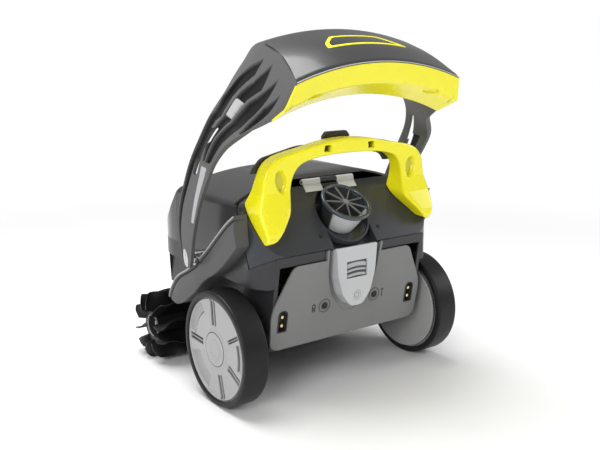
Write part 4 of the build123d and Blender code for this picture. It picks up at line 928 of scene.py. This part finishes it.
def make_nozzle():
    """The nozzle: a rolled rim over a tapered cup with a silver front, and a grille of vanes round
    a hub; all turned about an axis that leans back."""
    way = np.array([0, -np.sin(NOZZLE_TILT), np.cos(NOZZLE_TILT)])
    across = np.array([1.0, 0, 0])
    up = np.cross(way, across)

    def lean(points):
        """(along the axis, x, y') to the machine's directions."""
        return NOZZLE + points[..., :1] * way + points[..., 1:2] * across + points[..., 2:3] * up

    rim = skin(lean(turned(rounded(NOZZLE_RIM, 1.6, 5), 96)), along=True)
    mesh_piece("nozzle_rim", [rim], "dark_plastic", "hatch", finish="gunmetal")
    cup = divided(rounded(NOZZLE_CUP, 0.4, 3), 2.0)
    rows = turned(cup, 96)
    turn = np.arctan2(rows[..., 1], -rows[..., 2])
    front = smoothstep(1.15, 1.1, np.abs(turn)) * smoothstep(-7.6, -8.0, rows[..., 0])
    mesh_piece("nozzle_body", [skin(lean(rows), along=True)], "light_grey", "hatch", ("nozzle_cup",),
               shade=1 - front, finish="silver")
    hub = turned(rounded(NOZZLE_HUB, [0, 0.5, 0.8, 1.2, 0], 4), 32)
    vanes = [skin(lean(hub), along=True)]
    section = np.array(VANE_SECTION)
    for k in range(VANES):
        a = TWO_PI * k / VANES + 0.12
        out, beside = np.array([np.cos(a), np.sin(a)]), np.array([-np.sin(a), np.cos(a)])
        rows = np.stack([np.hstack([section[:, :1], out * r + section[:, 1:] * beside]) for r in VANE_RADII])
        vanes.append(skin(lean(rows)))
    mesh_piece("nozzle_vanes", vanes, "dark_plastic", "hatch", ("nozzle_grille",), finish="mark_grey")


# CAD nodes shown with eased edges: (piece, node, body, bevel in mm, finish or the slot's own)
EASED = [
    ("housing_shell", "lower_housing", "hull", 1.2, None),
    ("panel_shell", "rear_panel", "hull", 1.2, None),
    ("dome_shell", "top_cover", "hull", 1.6, "beam_satin"),
    ("hood_shell", "front_hood", "hull", 2.0, "black_gloss"),
    ("latch_shell", "latch_plate", "hull", 0.9, "silver"),
    ("bezel_shells", "contact_bezels", "hull", 0.5, None),
    ("bracket_shells", "roller_brackets", "hull", 1.0, None),
    ("cover_discs", "gear_covers", "hull", 1.0, "hub_grey"),
    ("deck_shell", "deck", "hatch", 1.4, "deck_dark"),
    ("strip_shells", "hinge_strips", "hatch", 0.5, "silver"),
    ("knuckle_shell", "cover_knuckle", "hull", 0.5, None),
    ("liner_shell", "handle_liner", "hatch", 0.8, None),
    ("trigger_tab", "handle_trigger", "trigger", 0.8, None),
    ("key_cap", "power_key", "power", 0.5, "silver"),
]
DARK_NODES = ("deck_screws", "status_lenses")


def make_hull(scale):
    """Housing, covers, panel and latch: the CAD pieces with eased edges, their widths times scale."""
    for name, node, body, width, finish in EASED:
        eased(name, node, body, width * scale, finish=finish)


def make_inner_finishes():
    """Every CAD node that still shows takes its slot's finish."""
    for name, node in frame["nodes"].items():
        if node.hide_render:
            continue
        node.data.materials.clear()
        node.data.materials.append(FINISHES["mark_dark" if name in DARK_NODES else SLOT_OF[name]])


# ---------------------------------------------------------------- stage
# name, place in metres, size in metres and power in watts
LAMPS = [
    ("overhead", (-0.25, 0.35, 1.9), 1.3, 40), ("rear_left", (-1.9, -1.3, 1.2), 0.9, 22),
    ("right", (1.7, -1.0, 1.1), 0.8, 9),
]
CAMERA = Vector((-0.80623, -1.02166, 0.54690))  # from the axle's place along the machine
CAMERA_WAY = Vector((0.57862, 0.78559, -0.21919))
LENS_MM, SENSOR_MM = 49.39, 36.0


def make_stage(look):
    """A pale floor, a soft white world, three area lights and the camera."""
    a = np.linspace(0, TWO_PI, 64, endpoint=False)
    rows = np.stack([np.stack([r * np.cos(a), r * np.sin(a), 0 * a], 1) for r in (1.2, 4.8, 12.0)])
    mesh = bpy.data.meshes.new("floor")
    points, faces = skin(rows, caps=False)
    faces.append(list(range(64)))
    mesh.from_pydata(points.tolist(), [], faces)
    floor = bpy.data.objects.new("floor", mesh)
    bpy.context.scene.collection.objects.link(floor)
    mesh.materials.append(FINISHES["floor_pale"])
    world = bpy.data.worlds.new("studio")
    bpy.context.scene.world = world
    world.use_nodes = True
    tree = world.node_tree
    seen = tree.nodes["Background"]
    seen.inputs["Color"].default_value = (1, 1, 1, 1)
    room = tree.nodes.new("ShaderNodeBackground")
    room.inputs["Strength"].default_value = look.world
    path = tree.nodes.new("ShaderNodeLightPath")
    both = tree.nodes.new("ShaderNodeMixShader")
    tree.links.new(path.outputs["Is Camera Ray"], both.inputs["Fac"])
    tree.links.new(room.outputs["Background"], both.inputs[1])
    tree.links.new(seen.outputs["Background"], both.inputs[2])
    tree.links.new(both.outputs["Shader"], tree.nodes["World Output"].inputs["Surface"])
    middle = (CAD_BOX[0] + CAD_BOX[1]) / 2
    for name, place, size, power in LAMPS:
        lamp = bpy.data.lights.new(name, "AREA")
        lamp.size, lamp.energy = size, power * look.lights
        light = bpy.data.objects.new(name, lamp)
        light.location = Vector(place)
        light.rotation_mode = "QUATERNION"
        light.rotation_quaternion = (middle - light.location).to_track_quat("-Z", "Y")
        bpy.context.scene.collection.objects.link(light)
    lens = bpy.data.cameras.new("camera")
    lens.lens, lens.sensor_width = LENS_MM, SENSOR_MM
    camera = bpy.data.objects.new("camera", lens)
    camera.location = CAMERA + Vector((0, AXLE.y, 0))
    camera.rotation_mode = "QUATERNION"
    camera.rotation_quaternion = CAMERA_WAY.to_track_quat("-Z", "Y")
    bpy.context.scene.collection.objects.link(camera)
    bpy.context.scene.camera = camera
    bpy.context.scene.view_settings.view_transform = "Standard"


# ---------------------------------------------------------------- add-on
def colour(name, description, default):
    """A colour property."""
    return bpy.props.FloatVectorProperty(name=name, description=description, subtype="COLOR", default=default,
                                         min=0, max=1)


class CleanerLook(bpy.types.PropertyGroup):
    """What a user would change."""

    dark: colour("Dark shells", "Colour of the dark shells", (0.03, 0.03, 0.033))
    mid: colour("Grey shells", "Colour of the grey panel", (0.19, 0.19, 0.19))
    light: colour("Light parts", "Colour of the light grey parts", (0.42, 0.42, 0.43))
    yellow: colour("Handles", "Colour of the handle and the beam's liner", (0.92, 0.85, 0.006))
    vent_depth: bpy.props.FloatProperty(name="Vent depth", description="Depth of the vents in the end caps",
                                        unit="LENGTH", default=0.006, min=0, max=0.008)
    edges: bpy.props.FloatProperty(name="Edge widths", description="Scale of the eased edges' widths",
                                   subtype="FACTOR", default=1.0, min=0.1, max=2)
    world: bpy.props.FloatProperty(name="Room light", description="Strength of the white room", default=0.5,
                                   min=0)
    lights: bpy.props.FloatProperty(name="Lamps", description="Strength of the three lamps", default=1.0,
                                    min=0)


class CLEANER_OT_finishes(bpy.types.Operator):
    """Makes the moulded finishes."""

    bl_idname = "cleaner.finishes"
    bl_label = "Finishes"

    def execute(self, context):
        make_finishes(context.scene.cleaner_look)
        return {"FINISHED"}


class CLEANER_OT_stage(bpy.types.Operator):
    """Sets the floor, light and camera."""

    bl_idname = "cleaner.stage"
    bl_label = "Stage"

    def execute(self, context):
        make_stage(context.scene.cleaner_look)
        return {"FINISHED"}


class CLEANER_OT_arch(bpy.types.Operator):
    """Makes the float arch: beam, liner, badge and two arms."""

    bl_idname = "cleaner.arch"
    bl_label = "Arch"

    def execute(self, context):
        make_beam_shell()
        make_beam_liner()
        make_badge()
        for side, word in SIDES:
            make_arm(side, word, context.scene.cleaner_look.vent_depth / MM)
            make_arm_details(side, word)
        return {"FINISHED"}


class CLEANER_OT_carry_handle(bpy.types.Operator):
    """Makes the yellow carry handle."""

    bl_idname = "cleaner.carry_handle"
    bl_label = "Carry handle"

    def execute(self, context):
        make_carry_handle()
        return {"FINISHED"}


class CLEANER_OT_wheels(bpy.types.Operator):
    """Makes both wheels."""

    bl_idname = "cleaner.wheels"
    bl_label = "Wheels"

    def execute(self, context):
        for side, word in SIDES:
            make_wheel(side, word)
        return {"FINISHED"}


class CLEANER_OT_roller(bpy.types.Operator):
    """Makes the roller's lamellae, sleeves and end rings."""

    bl_idname = "cleaner.roller"
    bl_label = "Roller"

    def execute(self, context):
        make_roller()
        return {"FINISHED"}


class CLEANER_OT_shells(bpy.types.Operator):
    """Makes the housing, covers, panel and latch with eased edges."""

    bl_idname = "cleaner.shells"
    bl_label = "Shells"

    def execute(self, context):
        make_hull(context.scene.cleaner_look.edges)
        return {"FINISHED"}


class CLEANER_OT_fenders(bpy.types.Operator):
    """Makes both fenders."""

    bl_idname = "cleaner.fenders"
    bl_label = "Fenders"

    def execute(self, context):
        for side, word in SIDES:
            make_fender(side, word)
        return {"FINISHED"}


class CLEANER_OT_nozzle(bpy.types.Operator):
    """Makes the nozzle's rim, cup and vanes."""

    bl_idname = "cleaner.nozzle"
    bl_label = "Nozzle"

    def execute(self, context):
        make_nozzle()
        return {"FINISHED"}


class CLEANER_OT_button(bpy.types.Operator):
    """Makes the ribbed release button."""

    bl_idname = "cleaner.button"
    bl_label = "Release button"

    def execute(self, context):
        make_button()
        return {"FINISHED"}


class CLEANER_OT_signs(bpy.types.Operator):
    """Makes the lens rings and the signs on the panel and the power key."""

    bl_idname = "cleaner.signs"
    bl_label = "Rings and signs"

    def execute(self, context):
        make_rear_details()
        make_power_sign()
        return {"FINISHED"}


class CLEANER_OT_inner(bpy.types.Operator):
    """Gives the CAD nodes that still show their finishes."""

    bl_idname = "cleaner.inner"
    bl_label = "Inner pieces"

    def execute(self, context):
        make_inner_finishes()
        return {"FINISHED"}


SIDES = ((-1, "left"), (1, "right"))
OPERATORS = [
    CLEANER_OT_finishes, CLEANER_OT_stage, CLEANER_OT_arch, CLEANER_OT_carry_handle, CLEANER_OT_wheels,
    CLEANER_OT_roller, CLEANER_OT_shells, CLEANER_OT_fenders, CLEANER_OT_nozzle, CLEANER_OT_button,
    CLEANER_OT_signs, CLEANER_OT_inner,
]


class CLEANER_PT_looks(bpy.types.Panel):
    """The sidebar panel."""

    bl_idname = "CLEANER_PT_looks"
    bl_label = "Pool cleaner"
    bl_space_type = "VIEW_3D"
    bl_region_type = "UI"
    bl_category = "Pool cleaner"

    def draw(self, context):
        for name in CleanerLook.__annotations__:
            self.layout.prop(context.scene.cleaner_look, name)
        for made in OPERATORS:
            self.layout.operator(made.bl_idname)


CLASSES = [CleanerLook, *OPERATORS, CLEANER_PT_looks]


def register():
    """Registers every class and puts the look on the scene."""
    for made in CLASSES:
        bpy.utils.register_class(made)
    bpy.types.Scene.cleaner_look = bpy.props.PointerProperty(type=CleanerLook)


def unregister():
    """Takes the look and every class away again."""
    del bpy.types.Scene.cleaner_look
    for made in reversed(CLASSES):
        bpy.utils.unregister_class(made)


def main():
    """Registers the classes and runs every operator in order."""
    register()
    for made in OPERATORS:
        group, word = made.bl_idname.split(".")
        getattr(getattr(bpy.ops, group), word)()


if __name__ == "__main__":
    main()
